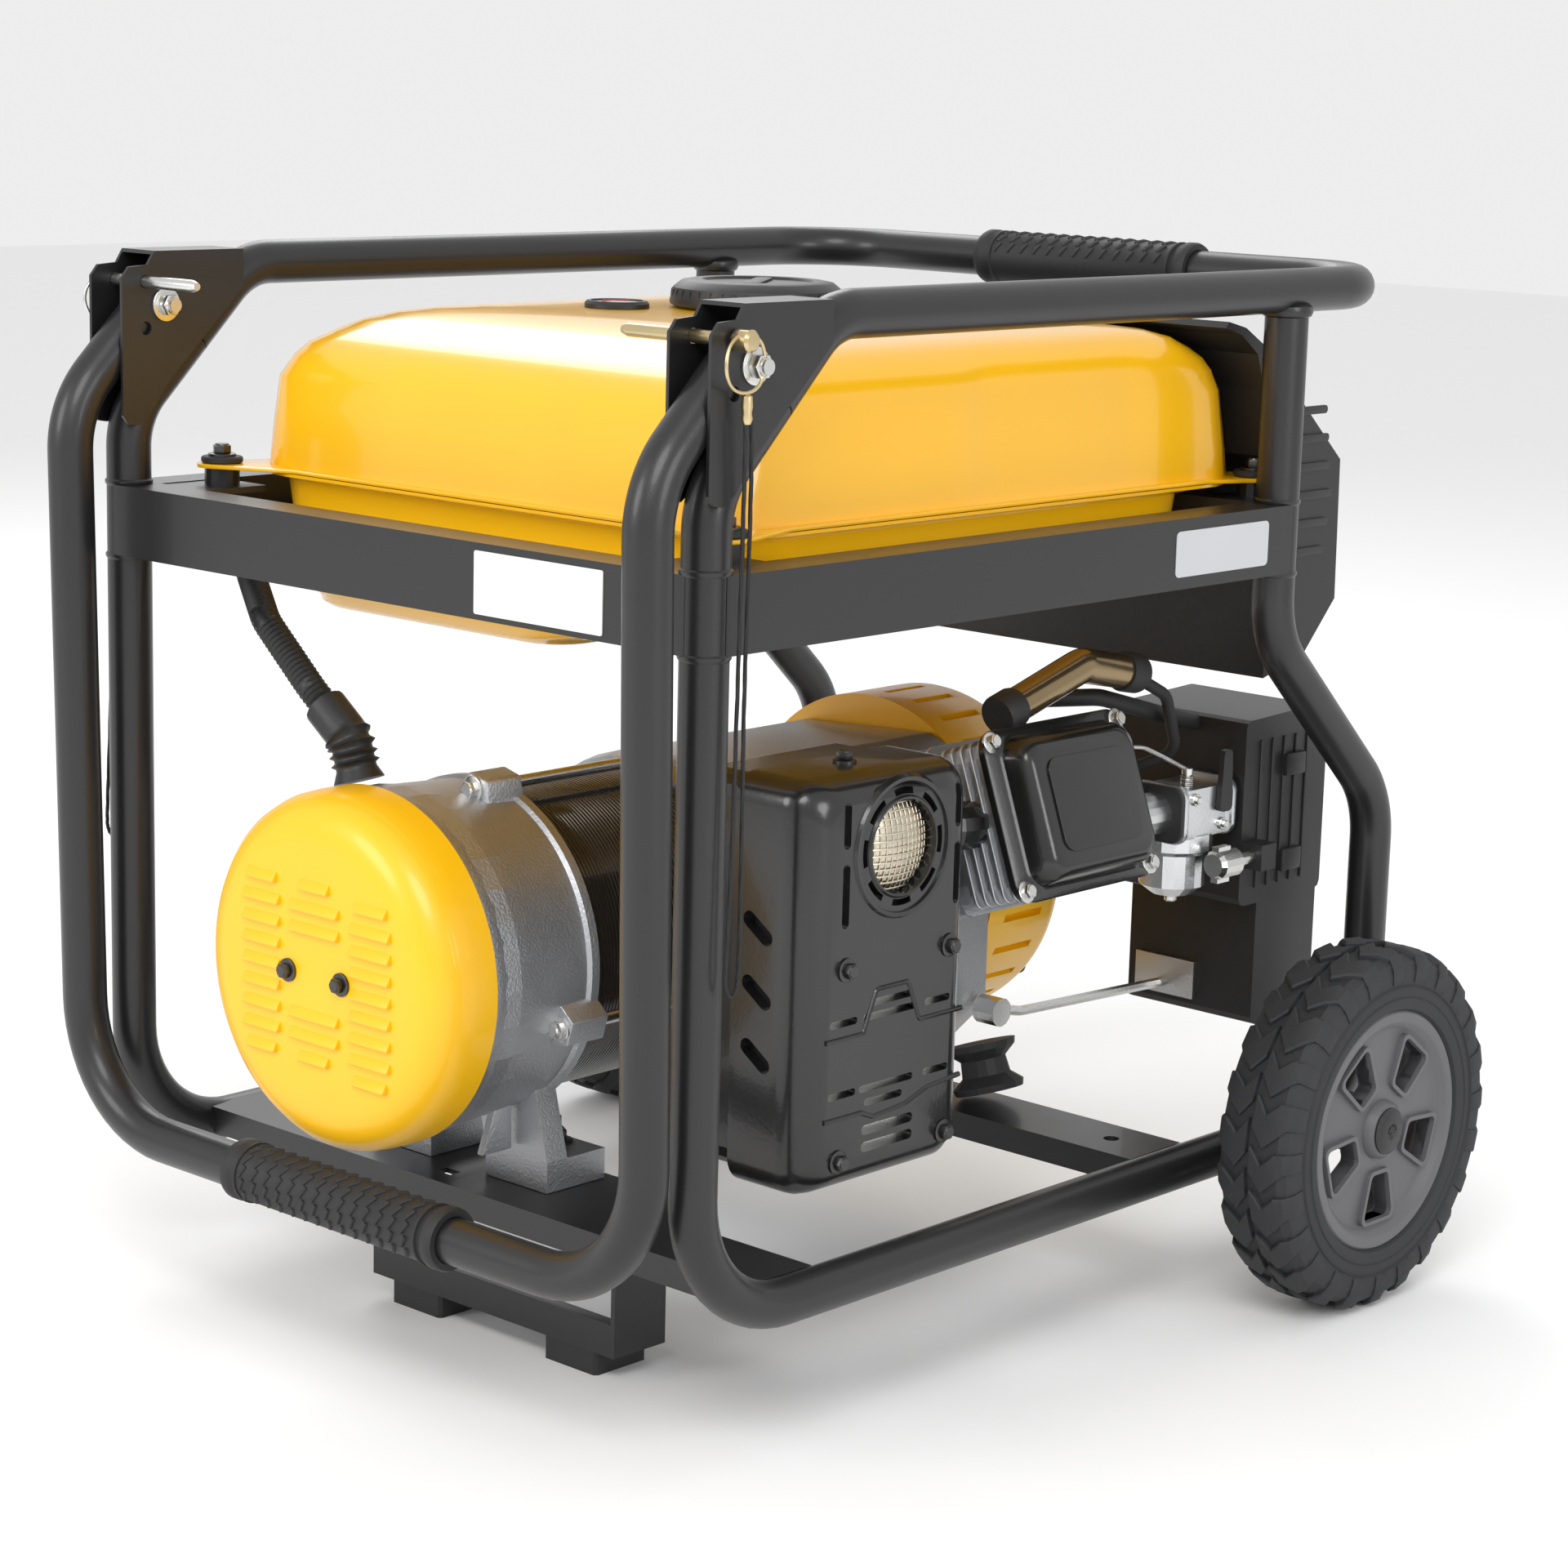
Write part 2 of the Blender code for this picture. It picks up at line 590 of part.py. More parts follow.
def control_box():
    outline = [(238, 361), (279, 372), (PANEL_X, 403), (PANEL_X - 2, 488), (265, 524), (226, 558), (203, 571)]
    outline += [(186, 575), (183, 571.5), (199, 567), (216, 555), (224, 534), (232, 494), (252, 489)]
    outline += [(252, 424), (238, 420)]
    hood = part("control_hood", prism("Y", outline, -205, 205), BLACK_PLASTIC)
    recess = box((PANEL_X - 7, -168, 408), (PANEL_X + 20, 168, 484))
    cut(hood, recess)
    x = PANEL_X - 7 + CLEAR
    panel = prism("X", rectangle(-166, 166, 410, 482, 6, 2), x, x + 2.5)
    plate = part("control_panel", panel, PANEL_GREY)
    add(plate, rod("X", BREAKER_AT, 9, x + 1, x + 5.6, 18))
    cut(plate, box((x - 5, 97.5, 429.5), (x + 10, 122.5, 462.5)), rod("X", BREAKER_AT, 5.3, x - 5, x + 10, 18))
    front = x + 2.5 + CLEAR
    socket = part("socket_block", prism("X", rectangle(-140, -36, 420, 472, 6, 2), front, front + 8), BLACK_PLASTIC)
    wells = [rod("X", (y, 446), 17, front + 1.5, front + 20, 16) for y in (-114, -62)]
    cut(socket, *wells)
    rocker = prism("Y", [(front, 431), (front + 8, 427), (front + 6, 446), (front + 4, 461), (front, 461)], 98, 122)
    part("engine_switch", rocker, RED_PLASTIC, (front + 1, 110, 446))
    button = turned("X", BREAKER_AT, [(5, front + 0.3), (5, front + 10), (3.5, front + 11)], 14)
    part("breaker_button", button, BLACK_PLASTIC, (front, *BREAKER_AT))


# ---- engine ----


def tilted():
    """Maps (across, up the cylinder face, out along the bore) onto the sloping cylinder."""
    c, s = math.cos(CYLINDER_TILT), math.sin(CYLINDER_TILT)
    rows = ((1, 0, 0, CYLINDER_X), (0, s, -c, SHAFT_Y), (0, c, s, SHAFT_Z), (0, 0, 0, 1))
    return Matrix(rows)


def crankcase():
    outline = [(-72, 150), (-44, 121), (108, 121), (124, 150), (126, 262), (84, 306), (-20, 312), (-72, 292)]
    case = part("crankcase", prism("X", rounded_outline(outline, 8, 2), -20, 150), ALUMINIUM)
    barrel = moved(prism("Z", rectangle(-46, 46, -44, 44, 12, 2), 60, HEAD_D - 0.4), tilted())
    fins = []
    for d in range(112, 185, 12):
        fins.append(moved(prism("Z", rectangle(-54, 54, -50, 50, 8, 2), d - 1.5, d + 1.5), tilted()))
    add(case, barrel, *fins)
    filler = rod("Y", DIPSTICK_AT, 12, 110, 136, 12)
    stem = rod("Y", DIPSTICK_AT, 9, 60, 150, 12)
    return cut(add(case, filler), stem)


def cylinder_top():
    head = prism("Z", rectangle(-58, 58, -48, 46, 10, 2), HEAD_D, COVER_D - 0.4)
    part("cylinder_head", moved(head, tilted()), ALUMINIUM)
    rings = [(64, 50, 0, 14), (64, 50, 4.6, 14), (52, 43, 5.6, 12), (50, 41, 18, 12), (44, 35, 26, 10)]
    rings = [[(px, py, COVER_D + d) for px, py in rectangle(-w, w, -h, h, r, 3)] for w, h, d, r in rings]
    part("valve_cover", moved(loft(rings), tilted()), BLACK_ENAMEL)


def spark_lead():
    """Moulded elbow over the plug, then the high-tension lead back to the coil."""
    route = bent([(47, -163, 357), (112, -165, 377), (158, -165, 368)], [14])
    lead = bent([(158, -165, 368), (196, -165, 350), (216, -160, 312), (206, -140, 302)], [16, 14])
    sizes = [1.0] * len(route) + [0.36] * (len(lead) - 1)
    part("spark_lead", tube(route + lead[1:], 10.5, 3, sizes), PLUG_BRONZE)


def carburettor():
    body = part("carburettor", box((196, -184, 264), (240, -150, 294)), ALUMINIUM)
    bowl = turned("Z", (214, -162), [(12, 226), (20, 232), (20, 252), (24, 255), (24, 265)], 18)
    throat = rod("X", (-165, 279), 13, 133.3, AIR_BOX_X - CLEAR, 18)
    add(body, bowl, throat)
    lever = rounded_outline([(225, 278), (237, 278), (235, 316), (227, 316)], 3, 2)
    part("choke_lever", prism("Y", lever, -188, -184.3), BLACK_PLASTIC, (231, -186, 284))
    y, z = TAP_AT
    knob = [(4, AIR_BOX_X - CLEAR), (4, 229), (9, 228), (9, 211), (7, 208)]
    tap = part("fuel_tap", turned("X", TAP_AT, knob, 14), BRIGHT_ZINC, (AIR_BOX_X, y, z))
    add(tap, box((210, y - 2.5, z - 11), (222, y + 2.5, z + 11)))


def air_box():
    top = [(AIR_BOX_X, 216), (333, 216), (333, 322), (321, 334), (AIR_BOX_X, 331)]
    case = part("air_box", prism("Y", rounded_outline(top, 5, 2), -189, -94), BLACK_PLASTIC)
    low = rounded_outline([(269, 137), (332, 137), (332, 226), (269, 226)], 5, 2)
    lug = box((AIR_BOX_X, TAP_AT[0] - 8, TAP_AT[1] - 8), (262, -185, TAP_AT[1] + 8))
    add(case, prism("Y", low, -187, -92), lug)
    rod_path = bent([(142, -86, 150), (160, -92, 147), (266, -118, 152)], [10], 2)
    strut = part("strut", tube(rod_path, 3.2, 2), BRIGHT_ZINC)
    plate = box((265, -145, 146), (268.7, -100, 170))
    foot = rod("Y", (142, 149), 9, -92, -76, 12)
    add(strut, plate, foot)


def recoil_cover():
    """The fan housing: round about the shaft and swelling towards the cylinder."""
    turns = [math.radians(a) for a in range(-120, 101, 20)]
    outline = [(SHAFT_Y + 105 * math.cos(t), SHAFT_Z + 105 * math.sin(t)) for t in turns]
    outline += [(-30, 322), (-84, 306), (-112, 270), (-112, 222), (-104, 204), (-69, 160)]
    rings = [[(x, y, z) for y, z in outline] for x in (152, 205)]
    for x, size in ((222, 0.9), (228, 0.72)):
        rings.append([(x, SHAFT_Y + (y - SHAFT_Y) * size, SHAFT_Z + (z - SHAFT_Z) * size) for y, z in outline])
    cover = part("recoil_cover", loft(rings), YELLOW_GLOSS)
    dome = turned("X", (SHAFT_Y, SHAFT_Z), [(70, 226), (68, 240), (60, 246)], 24)
    eye = turned("X", (-30, 262), [(11, 226), (10, 244)], 12)
    add(cover, dome, eye)
    cut(cover, rod("X", (-30, 262), 4.5, 236, 260, 10))


def recoil_grip():
    x = 244 + CLEAR
    rings = []
    for depth, long, wide in ((0, 12, 7), (5, 20, 10), (12, 40, 11), (22, 42, 9), (27, 36, 6)):
        rings.append([(x + depth, -30 + py, 262 + px) for px, py in rectangle(-long, long, -wide, wide, wide * 0.6, 2)])
    part("recoil_grip", loft(rings), BLACK_PLASTIC, (x, -30, 262))


def dipstick():
    profile = [(8.6, 70), (8.6, 136.4), (16, 136.4), (16, 146), (13, 149)]
    origin = (DIPSTICK_AT[0], 136, DIPSTICK_AT[1])
    part("oil_dipstick", turned("Y", DIPSTICK_AT, profile, 14), BLACK_PLASTIC, origin)


def rubber_mount(y, lean, name):
    profile = [(21, -16), (22, -12), (15, -6), (14, 4), (21, 10), (22, 14)]
    shape = turned("Z", (0, 0), profile, 16)
    turn = Matrix.Translation((132, y, 117)) @ Matrix.Rotation(math.radians(lean), 4, "X")
    part(name, moved(shape, turn), BLACK_RUBBER)


# ---- exhaust ----


def guard_form(wall, back):
    """The pressed heat guard: a deep tray whose alternator-side corner is chamfered."""
    rings = []
    for y, x0, x1, rise in ((back, -163, -28, 0), (-181, -163, -28, 0), (-193, -158, -29, 2), (-205, -139, -34, 8)):
        low, high = 119 + rise, 347 - rise
        outline = rectangle(x0 + wall, x1 - wall, low + wall, high - wall, 12, 3)
        depth = y if y == back else y + wall
        rings.append([(px, depth, pz) for px, pz in outline])
    return loft(rings)


def exhaust():
    front = prism("Y", rectangle(-133, -40, 132, 334, 14, 3), -198, -140)
    body = part("muffler", front, EXHAUST_BLACK)
    back = prism("Y", rectangle(-154, -33, 124, 343, 12, 3), -149, -116)
    pipe = bent([(-60, -130, 298), (-14, -130, 298), (0, -165, 296), (16.7, -165, 296)], [15, 15], 3)
    add(body, back, tube(pipe, 14, 4))
    guard = part("muffler_guard", guard_form(0.0, -150), EXHAUST_BLACK)
    inner = guard_form(3.0, -140)
    outlet = rod("Y", (-88, 305), 25, -230, -190, 20)
    cut(guard, inner, outlet)


# ---- alternator ----


def alternator():
    centre = (SHAFT_Y, SHAFT_Z)
    cup = [(20, -298), (86, -298), (95, -295), (100, -287), (100.5, -256), (98.3, -256), (98, -286), (93.5, -293)]
    cup += [(85, -296), (20, -296)]
    cover = part("alternator_cover", turned_ring("X", centre, cup, 32), YELLOW_GLOSS)
    add(cover, rod("X", centre, 21, -298, -296, 32))
    bell = [(98, -255.6), (98, -236), (94, -206), (92, -176)]
    end = part("end_bell", turned("X", centre, bell, 32), ALUMINIUM)
    feet = []
    for y0, y1, lean in ((-41, 9, 14), (55, 105, -14)):
        web = [(y0, 94.4), (y1, 94.4), (y1, 112), (y1 + lean, 165), (y0 + lean, 165), (y0, 112)]
        feet.append(prism("X", web, -192, -176.4))
        feet.append(box((-180, y0, 94.4), (-147, y1, 112)))
    add(end, *feet)
    cut(end, rod("X", centre, 12, -240, -160, 16))
    ring = [(62, -175.6), (89, -175.6), (89, -62), (62, -62)]
    part("stator", turned_ring("X", centre, ring, 32), STATOR_BLACK)
    front = part("adapter_bell", turned("X", centre, [(92, -61.6), (94, -50), (88, -20.4)], 32), ALUMINIUM)
    cut(front, rod("X", centre, 12, -80, -30, 16))
    core = [(9, -236), (9, -168), (60, -168), (60, -70), (9, -70), (9, -34)]
    part("rotor", turned("X", centre, core, 20), STEEL_GREY, (-120, SHAFT_Y, SHAFT_Z))


def cable_conduit():
    """A bellows boot on the end bell, then corrugated conduit up and along the far rail to the control box."""
    corners = [(-239, 64, 319), (-239, 72, 342), (-240, 104, 366), (-236, 148, 398), (-214, 192, 425)]
    corners += [(-170, 197, 446), (150, 195, 446), (190, 195, 416), (237, 195, 416)]
    path = bent(corners, [20, 30, 30, 30, 30, 20, 20], 3)
    boot = [Vector(corners[0]) + (path[1] - path[0]) * t for t in (0.0, 0.25, 0.6)]
    sizes = [1.0, 1.0, 0.87] + [0.57] * (len(path) - 1)
    part("cable_conduit", tube(boot + path[1:], 15, 3, sizes), BLACK_RUBBER)


clear_scene()
PARTS = make_collection(OBJECT_NAME)
CUTTERS = make_collection(OBJECT_NAME + "_cutters")

BLACK_PAINT = material("black_powder_coat", (0.018, 0.018, 0.02), 0.45)
BLACK_RUBBER = material("black_rubber", (0.02, 0.02, 0.021), 0.75)
BLACK_PLASTIC = material("black_plastic", (0.016, 0.016, 0.018), 0.5)
BLACK_ENAMEL = material("black_enamel", (0.012, 0.012, 0.013), 0.28)
EXHAUST_BLACK = material("exhaust_black", (0.014, 0.013, 0.013), 0.35)
TYRE_RUBBER = material("tyre_rubber", (0.028, 0.029, 0.031), 0.85)
WHEEL_GREY = material("wheel_grey", (0.11, 0.11, 0.12), 0.55)
YELLOW_GLOSS = material("yellow_gloss", (0.95, 0.56, 0.005), 0.22)
ALUMINIUM = material("cast_aluminium", (0.52, 0.53, 0.55), 0.5, 1.0)
BRIGHT_ZINC = material("bright_zinc", (0.62, 0.58, 0.45), 0.3, 1.0)
STEEL_GREY = material("rotor_steel", (0.35, 0.35, 0.36), 0.4, 1.0)
STATOR_BLACK = material("stator_black", (0.03, 0.03, 0.028), 0.3)
PANEL_GREY = material("panel_grey", (0.05, 0.05, 0.055), 0.45)
RED_PLASTIC = material("switch_red", (0.5, 0.02, 0.015), 0.35)
PLUG_BRONZE = material("plug_bronze", (0.22, 0.15, 0.07), 0.25, 0.8)
CORD_BLACK = material("cord_black", (0.02, 0.02, 0.02), 0.8)

side_frame(-1, "side_frame_near")
side_frame(1, "side_frame_far")
top_loop()
gusset(-1, "gusset_near")
gusset(1, "gusset_far")
shelf_rail_long(-1, "shelf_rail_near")
shelf_rail_long(1, "shelf_rail_far")
shelf_rail_cross(POST_X, -211, "shelf_rail_alternator_end")
shelf_rail_cross(PANEL_POST_X, 245, "shelf_rail_panel_end")
crossmembers()
foot_bracket()
axle(-1, "axle_near")
axle(1, "axle_far")
fold_handle()
pivot_bolt(-1, "pivot_bolt_near")
pivot_bolt(1, "pivot_bolt_far")
lock_pin(-1, "lock_pin_near")
lock_pin(1, "lock_pin_far")
lanyard(-1, "lanyard_near")
lanyard(1, "lanyard_far")
wheel(-1, "tyre_near", "wheel_hub_near")
wheel(1, "tyre_far", "wheel_hub_far")
tank()
fuel_cap()
control_box()
crankcase()
cylinder_top()
spark_lead()
carburettor()
air_box()
recoil_cover()
recoil_grip()
dipstick()
rubber_mount(-88, -18, "rubber_mount_near")
rubber_mount(140, 18, "rubber_mount_far")
exhaust()
alternator()
cable_conduit()
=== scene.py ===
"""The looks of the portable generator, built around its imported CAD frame.

+X runs from the alternator to the control box, -Y is the muffler side and +Z is up.
Numbers are millimetres from the CAD source's datum; the helpers turn them into metres in the CAD frame.
"""

import math

import bmesh
import bpy
from mathutils import Matrix, Vector


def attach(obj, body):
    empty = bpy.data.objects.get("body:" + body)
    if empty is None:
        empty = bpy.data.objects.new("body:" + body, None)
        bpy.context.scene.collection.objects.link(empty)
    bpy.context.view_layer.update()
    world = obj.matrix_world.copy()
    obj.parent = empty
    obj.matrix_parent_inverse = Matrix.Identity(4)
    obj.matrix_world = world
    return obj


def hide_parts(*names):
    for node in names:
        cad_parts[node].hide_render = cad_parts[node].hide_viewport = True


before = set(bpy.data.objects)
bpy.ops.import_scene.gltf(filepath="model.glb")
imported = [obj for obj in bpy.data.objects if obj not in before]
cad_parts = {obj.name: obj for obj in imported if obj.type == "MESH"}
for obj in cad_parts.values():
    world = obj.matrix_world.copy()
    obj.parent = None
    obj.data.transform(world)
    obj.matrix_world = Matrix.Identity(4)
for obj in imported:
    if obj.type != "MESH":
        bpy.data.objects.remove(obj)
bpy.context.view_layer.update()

MM = 0.001
CENTRE_X = 8.96
TURNED_TO = {
    "X": Matrix(((0, 0, 1, 0), (1, 0, 0, 0), (0, 1, 0, 0), (0, 0, 0, 1))),
    "Y": Matrix(((1, 0, 0, 0), (0, 0, 1, 0), (0, 1, 0, 0), (0, 0, 0, 1))),
    "Z": Matrix.Identity(4),
}
TO_METRES = Matrix.Scale(MM, 4) @ Matrix.Translation((-CENTRE_X, 0, 0))


# ---- meshes: each helper returns a mesh in millimetres ----


def faced_out(work, name="shape"):
    """A mesh of the work, with its doubles merged and its faces turned outward."""
    bmesh.ops.remove_doubles(work, verts=work.verts, dist=0.001)
    bmesh.ops.recalc_face_normals(work, faces=work.faces)
    mesh = bpy.data.meshes.new(name)
    work.to_mesh(mesh)
    work.free()
    return mesh


def evaluated(data, matrix, modifiers=()):
    """The data as a mesh, after its modifiers and moved by the matrix."""
    maker = bpy.data.objects.new("maker", data)
    bpy.context.scene.collection.objects.link(maker)
    for kind, settings in modifiers:
        step = maker.modifiers.new(kind, kind)
        for key, value in settings.items():
            setattr(step, key, value)
    graph = bpy.context.evaluated_depsgraph_get()
    made = bpy.data.meshes.new_from_object(maker.evaluated_get(graph))
    bpy.data.objects.remove(maker, do_unlink=True)
    made.transform(matrix)
    work = bmesh.new()
    work.from_mesh(made)
    bpy.data.meshes.remove(made)
    return faced_out(work)


def poly_curve(points, closed, radii=None):
    """A curve object's data through the points, with a radius at each if given."""
    curve = bpy.data.curves.new("path", "CURVE")
    spline = curve.splines.new("POLY")
    spline.points.add(len(points) - 1)
    spline.use_cyclic_u = closed
    for i, point in enumerate(points):
        spline.points[i].co = (*point, 1.0)
        spline.points[i].radius = radii[i] if radii else 1.0
    return curve


def prism(axis, outline, low, high):
    """The outline, in the two other axes, pushed along the axis from low to high."""
    curve = poly_curve([(u, v, 0.0) for u, v in outline], True)
    curve.dimensions = "2D"
    curve.fill_mode = "BOTH"
    curve.extrude = (high - low) / 2
    return evaluated(curve, TURNED_TO[axis] @ Matrix.Translation((0, 0, (low + high) / 2)))


def tube(path, radius, resolution=8, radii=None):
    """A round tube along the path, with flat ends."""
    curve = poly_curve(path, False, radii)
    curve.dimensions = "3D"
    curve.bevel_depth = radius
    curve.bevel_resolution = resolution
    curve.use_fill_caps = True
    return evaluated(curve, Matrix.Identity(4))


def box(low, high):
    """A plain block between two corners."""
    middle = [(a + b) / 2 for a, b in zip(low, high)]
    size = [b - a for a, b in zip(low, high)]
    work = bmesh.new()
    bmesh.ops.create_cube(work, size=1.0, matrix=Matrix.Translation(middle) @ Matrix.Diagonal((*size, 1)))
    return faced_out(work)


def lathe(axis, centre, profile, closed, sides):
    """A profile of (radius, place along the axis) pairs, spun once round the axis."""
    mesh = bpy.data.meshes.new("profile")
    count = len(profile)
    edges = [(i, (i + 1) % count) for i in range(count if closed else count - 1)]
    mesh.from_pydata([(r, 0.0, d) for r, d in profile], edges, [])
    screw = {"steps": sides, "render_steps": sides, "use_merge_vertices": True, "merge_threshold": 0.0001}
    return evaluated(mesh, TURNED_TO[axis] @ Matrix.Translation((*centre, 0)), [("SCREW", screw)])


def turned(axis, centre, profile, sides=48):
    """A solid turned round the axis from (radius, place along the axis) pairs."""
    return lathe(axis, centre, [(0.0, profile[0][1]), *profile, (0.0, profile[-1][1])], False, sides)


def ring(axis, centre, profile, sides=64):
    """A closed profile turned round the axis, with its middle left open."""
    return lathe(axis, centre, profile, True, sides)


def loft(rings):
    """A solid skin over outlines that have equal point counts."""
    work = bmesh.new()
    rows = [[work.verts.new(point) for point in row] for row in rings]
    work.faces.new(rows[0])
    work.faces.new(rows[-1])
    for below, above in zip(rows, rows[1:]):
        for i in range(len(below)):
            work.faces.new((below[i - 1], below[i], above[i], above[i - 1]))
    return faced_out(work)


def moved(mesh, matrix):
    """The same mesh, moved by the matrix."""
    mesh.transform(matrix)
    return mesh


def joined(*meshes):
    """One mesh of several, which are used up."""
    work = bmesh.new()
    for mesh in meshes:
        work.from_mesh(mesh)
        bpy.data.meshes.remove(mesh)
    made = bpy.data.meshes.new("joined")
    work.to_mesh(made)
    work.free()
    return made


def carved(mesh, *cutters):
    """The mesh with each cutter taken away."""
    holders = []
    steps = []
    for cutter in cutters:
        holder = bpy.data.objects.new("cutter", cutter)
        bpy.context.scene.collection.objects.link(holder)
        holders.append(holder)
        steps.append(("BOOLEAN", {"operation": "DIFFERENCE", "solver": "EXACT", "object": holder}))
    made = evaluated(mesh, Matrix.Identity(4), steps)
    for holder in holders:
        data = holder.data
        bpy.data.objects.remove(holder, do_unlink=True)
        bpy.data.meshes.remove(data)
    return made


def eased(mesh, width, segments=2, sharper=30):
    """Rounds the mesh's sharp edges."""
    work = bmesh.new()
    work.from_mesh(mesh)
    bpy.data.meshes.remove(mesh)
    limit = math.radians(sharper)
    edges = [e for e in work.edges if len(e.link_faces) == 2 and e.calc_face_angle(0) > limit]
    bmesh.ops.bevel(
        work, geom=edges, offset=width, segments=segments, profile=0.6, affect="EDGES", clamp_overlap=True
    )
    return faced_out(work)


def arc_at(corner, before, after, radius, steps):
    """The points of an arc that rounds one corner, given the ways to its two neighbours."""
    before, after = before.normalized(), after.normalized()
    half = before.angle(after) / 2
    centre = corner + (before + after).normalized() * radius / math.sin(half)
    start = corner + before * radius / math.tan(half) - centre
    end = corner + after * radius / math.tan(half) - centre
    turn = math.pi - 2 * half
    times = [turn * k / steps for k in range(steps + 1)]
    return [centre + (start * math.sin(turn - t) + end * math.sin(t)) / math.sin(turn) for t in times]


def rounded(corners, radius, steps=5):
    """The outline with each corner rounded."""
    out = []
    for i, at in enumerate(corners):
        corner = Vector(at)
        before = Vector(corners[i - 1]) - corner
        after = Vector(corners[(i + 1) % len(corners)]) - corner
        out.extend(tuple(p) for p in arc_at(corner, before, after, radius, steps))
    return out


def rectangle(x0, x1, y0, y1, radius, steps=5):
    """A rounded rectangle's outline."""
    return rounded([(x0, y0), (x1, y0), (x1, y1), (x0, y1)], radius, steps)


def bent(points, radii, steps=14):
    """The path with each inner corner rounded to its own radius."""
    points = [Vector(p) for p in points]
    path = [points[0]]
    for i, radius in enumerate(radii, start=1):
        before, after = points[i - 1] - points[i], points[i + 1] - points[i]
        path.extend(arc_at(points[i], before, after, radius, steps))
    return path + [points[-1]]


def smooth(points, steps):
    """A curve through all the points."""
    points = [Vector(p) for p in points]
    ends = [points[0] * 2 - points[1], *points, points[-1] * 2 - points[-2]]
    out = []
    for a, b, c, d in zip(ends, ends[1:], ends[2:], ends[3:]):
        for k in range(steps):
            t = k / steps
            cubic = (b * 3 - a - c * 3 + d) * t**3 + (a * 2 - b * 5 + c * 4 - d) * t**2
            out.append((cubic + (c - a) * t + b * 2) / 2)
    return out + [points[-1]]


def evenly(path, gap):
    """The path's points, taken again a fixed gap apart."""
    out = [path[0]]
    left = gap
    for a, b in zip(path, path[1:]):
        length = (b - a).length
        while length > left:
            a = a + (b - a).normalized() * left
            length -= left
            left = gap
            out.append(a)
        left -= length
    return out + [path[-1]]


def hex_bolt(axis, centre, face, out, size=6.0, washer=True, stud=0.0):
    """A hexagon head on a washer. face is where it sits along the axis, and out is +1 or -1."""
    parts = []
    at = face
    if washer:
        disc = [(size * 1.45, at), (size * 1.45, at + out * 1.3), (size * 1.3, at + out * 1.6)]
        parts.append(turned(axis, centre, disc, 32))
        at += out * 1.6
    head = turned(axis, centre, [(size, at), (size, at + out * size * 0.85)], 6)
    parts.append(eased(head, size * 0.12, 2))
    dome = [(size * 0.78, at + out * size * 0.8), (size * 0.7, at + out * size * 0.98)]
    parts.append(turned(axis, centre, dome, 24))
    if stud:
        thread = []
        for k in range(int(stud)):
            thread += [
                (size * 0.52, at + out * (size * 0.9 + k)),
                (size * 0.46, at + out * (size * 0.9 + k + 0.5)),
            ]
        parts.append(turned(axis, centre, thread, 20))
    return joined(*parts)


# ---- materials ----


def look(name, colour, rough, metal=0.0, coat=0.0, grain=900.0, bump=0.05, patch=0.12, rough_patch=0.12):
    """A Principled material with a fine surface grain and broad patches of tone and roughness."""
    made = bpy.data.materials.new(name)
    made.use_nodes = True
    nodes, links = made.node_tree.nodes, made.node_tree.links
    shader = nodes["Principled BSDF"]
    shader.inputs["Metallic"].default_value = metal
    shader.inputs["Coat Weight"].default_value = coat
    shader.inputs["Coat Roughness"].default_value = 0.06
    place = nodes.new("ShaderNodeTexCoord")
    broad = nodes.new("ShaderNodeTexNoise")
    broad.inputs["Scale"].default_value = 14.0
    broad.inputs["Detail"].default_value = 6.0
    links.new(place.outputs["Object"], broad.inputs["Vector"])
    fine = nodes.new("ShaderNodeTexNoise")
    fine.inputs["Scale"].default_value = grain
    fine.inputs["Detail"].default_value = 3.0
    links.new(place.outputs["Object"], fine.inputs["Vector"])
    tone = nodes.new("ShaderNodeMix")
    tone.data_type = "RGBA"
    tone.inputs[6].default_value = (*[c * (1 - patch) for c in colour], 1)
    tone.inputs[7].default_value = (*[min(1, c * (1 + patch)) for c in colour], 1)
    links.new(broad.outputs["Fac"], tone.inputs["Factor"])
    links.new(tone.outputs[2], shader.inputs["Base Color"])
    spread = nodes.new("ShaderNodeMapRange")
    spread.inputs["To Min"].default_value = max(0.02, rough - rough_patch)
    spread.inputs["To Max"].default_value = min(1.0, rough + rough_patch)
    links.new(broad.outputs["Fac"], spread.inputs["Value"])
    links.new(spread.outputs["Result"], shader.inputs["Roughness"])
    relief = nodes.new("ShaderNodeBump")
    relief.inputs["Strength"].default_value = min(1.0, bump * 4)
    relief.inputs["Distance"].default_value = 0.0004
    links.new(fine.outputs["Fac"], relief.inputs["Height"])
    links.new(relief.outputs["Normal"], shader.inputs["Normal"])
    return made


FRAME_BLACK = look(
    "frame_black", (0.011, 0.011, 0.012), 0.36, coat=0.12, grain=1300, bump=0.05, rough_patch=0.07,
)
YELLOW = look(
    "yellow_paint", (0.9, 0.47, 0.004), 0.24, coat=0.55, grain=300, bump=0.012, patch=0.03,
    rough_patch=0.05,
)
YELLOW_MATT = look(
    "yellow_cover", (0.92, 0.5, 0.004), 0.36, coat=0.2, grain=500, bump=0.02, patch=0.04,
    rough_patch=0.06,
)
PLASTIC = look(
    "black_plastic", (0.013, 0.013, 0.014), 0.42, grain=1700, bump=0.1, patch=0.2, rough_patch=0.06,
)
RUBBER = look(
    "black_rubber", (0.016, 0.016, 0.017), 0.62, grain=900, bump=0.1, patch=0.25, rough_patch=0.08,
)
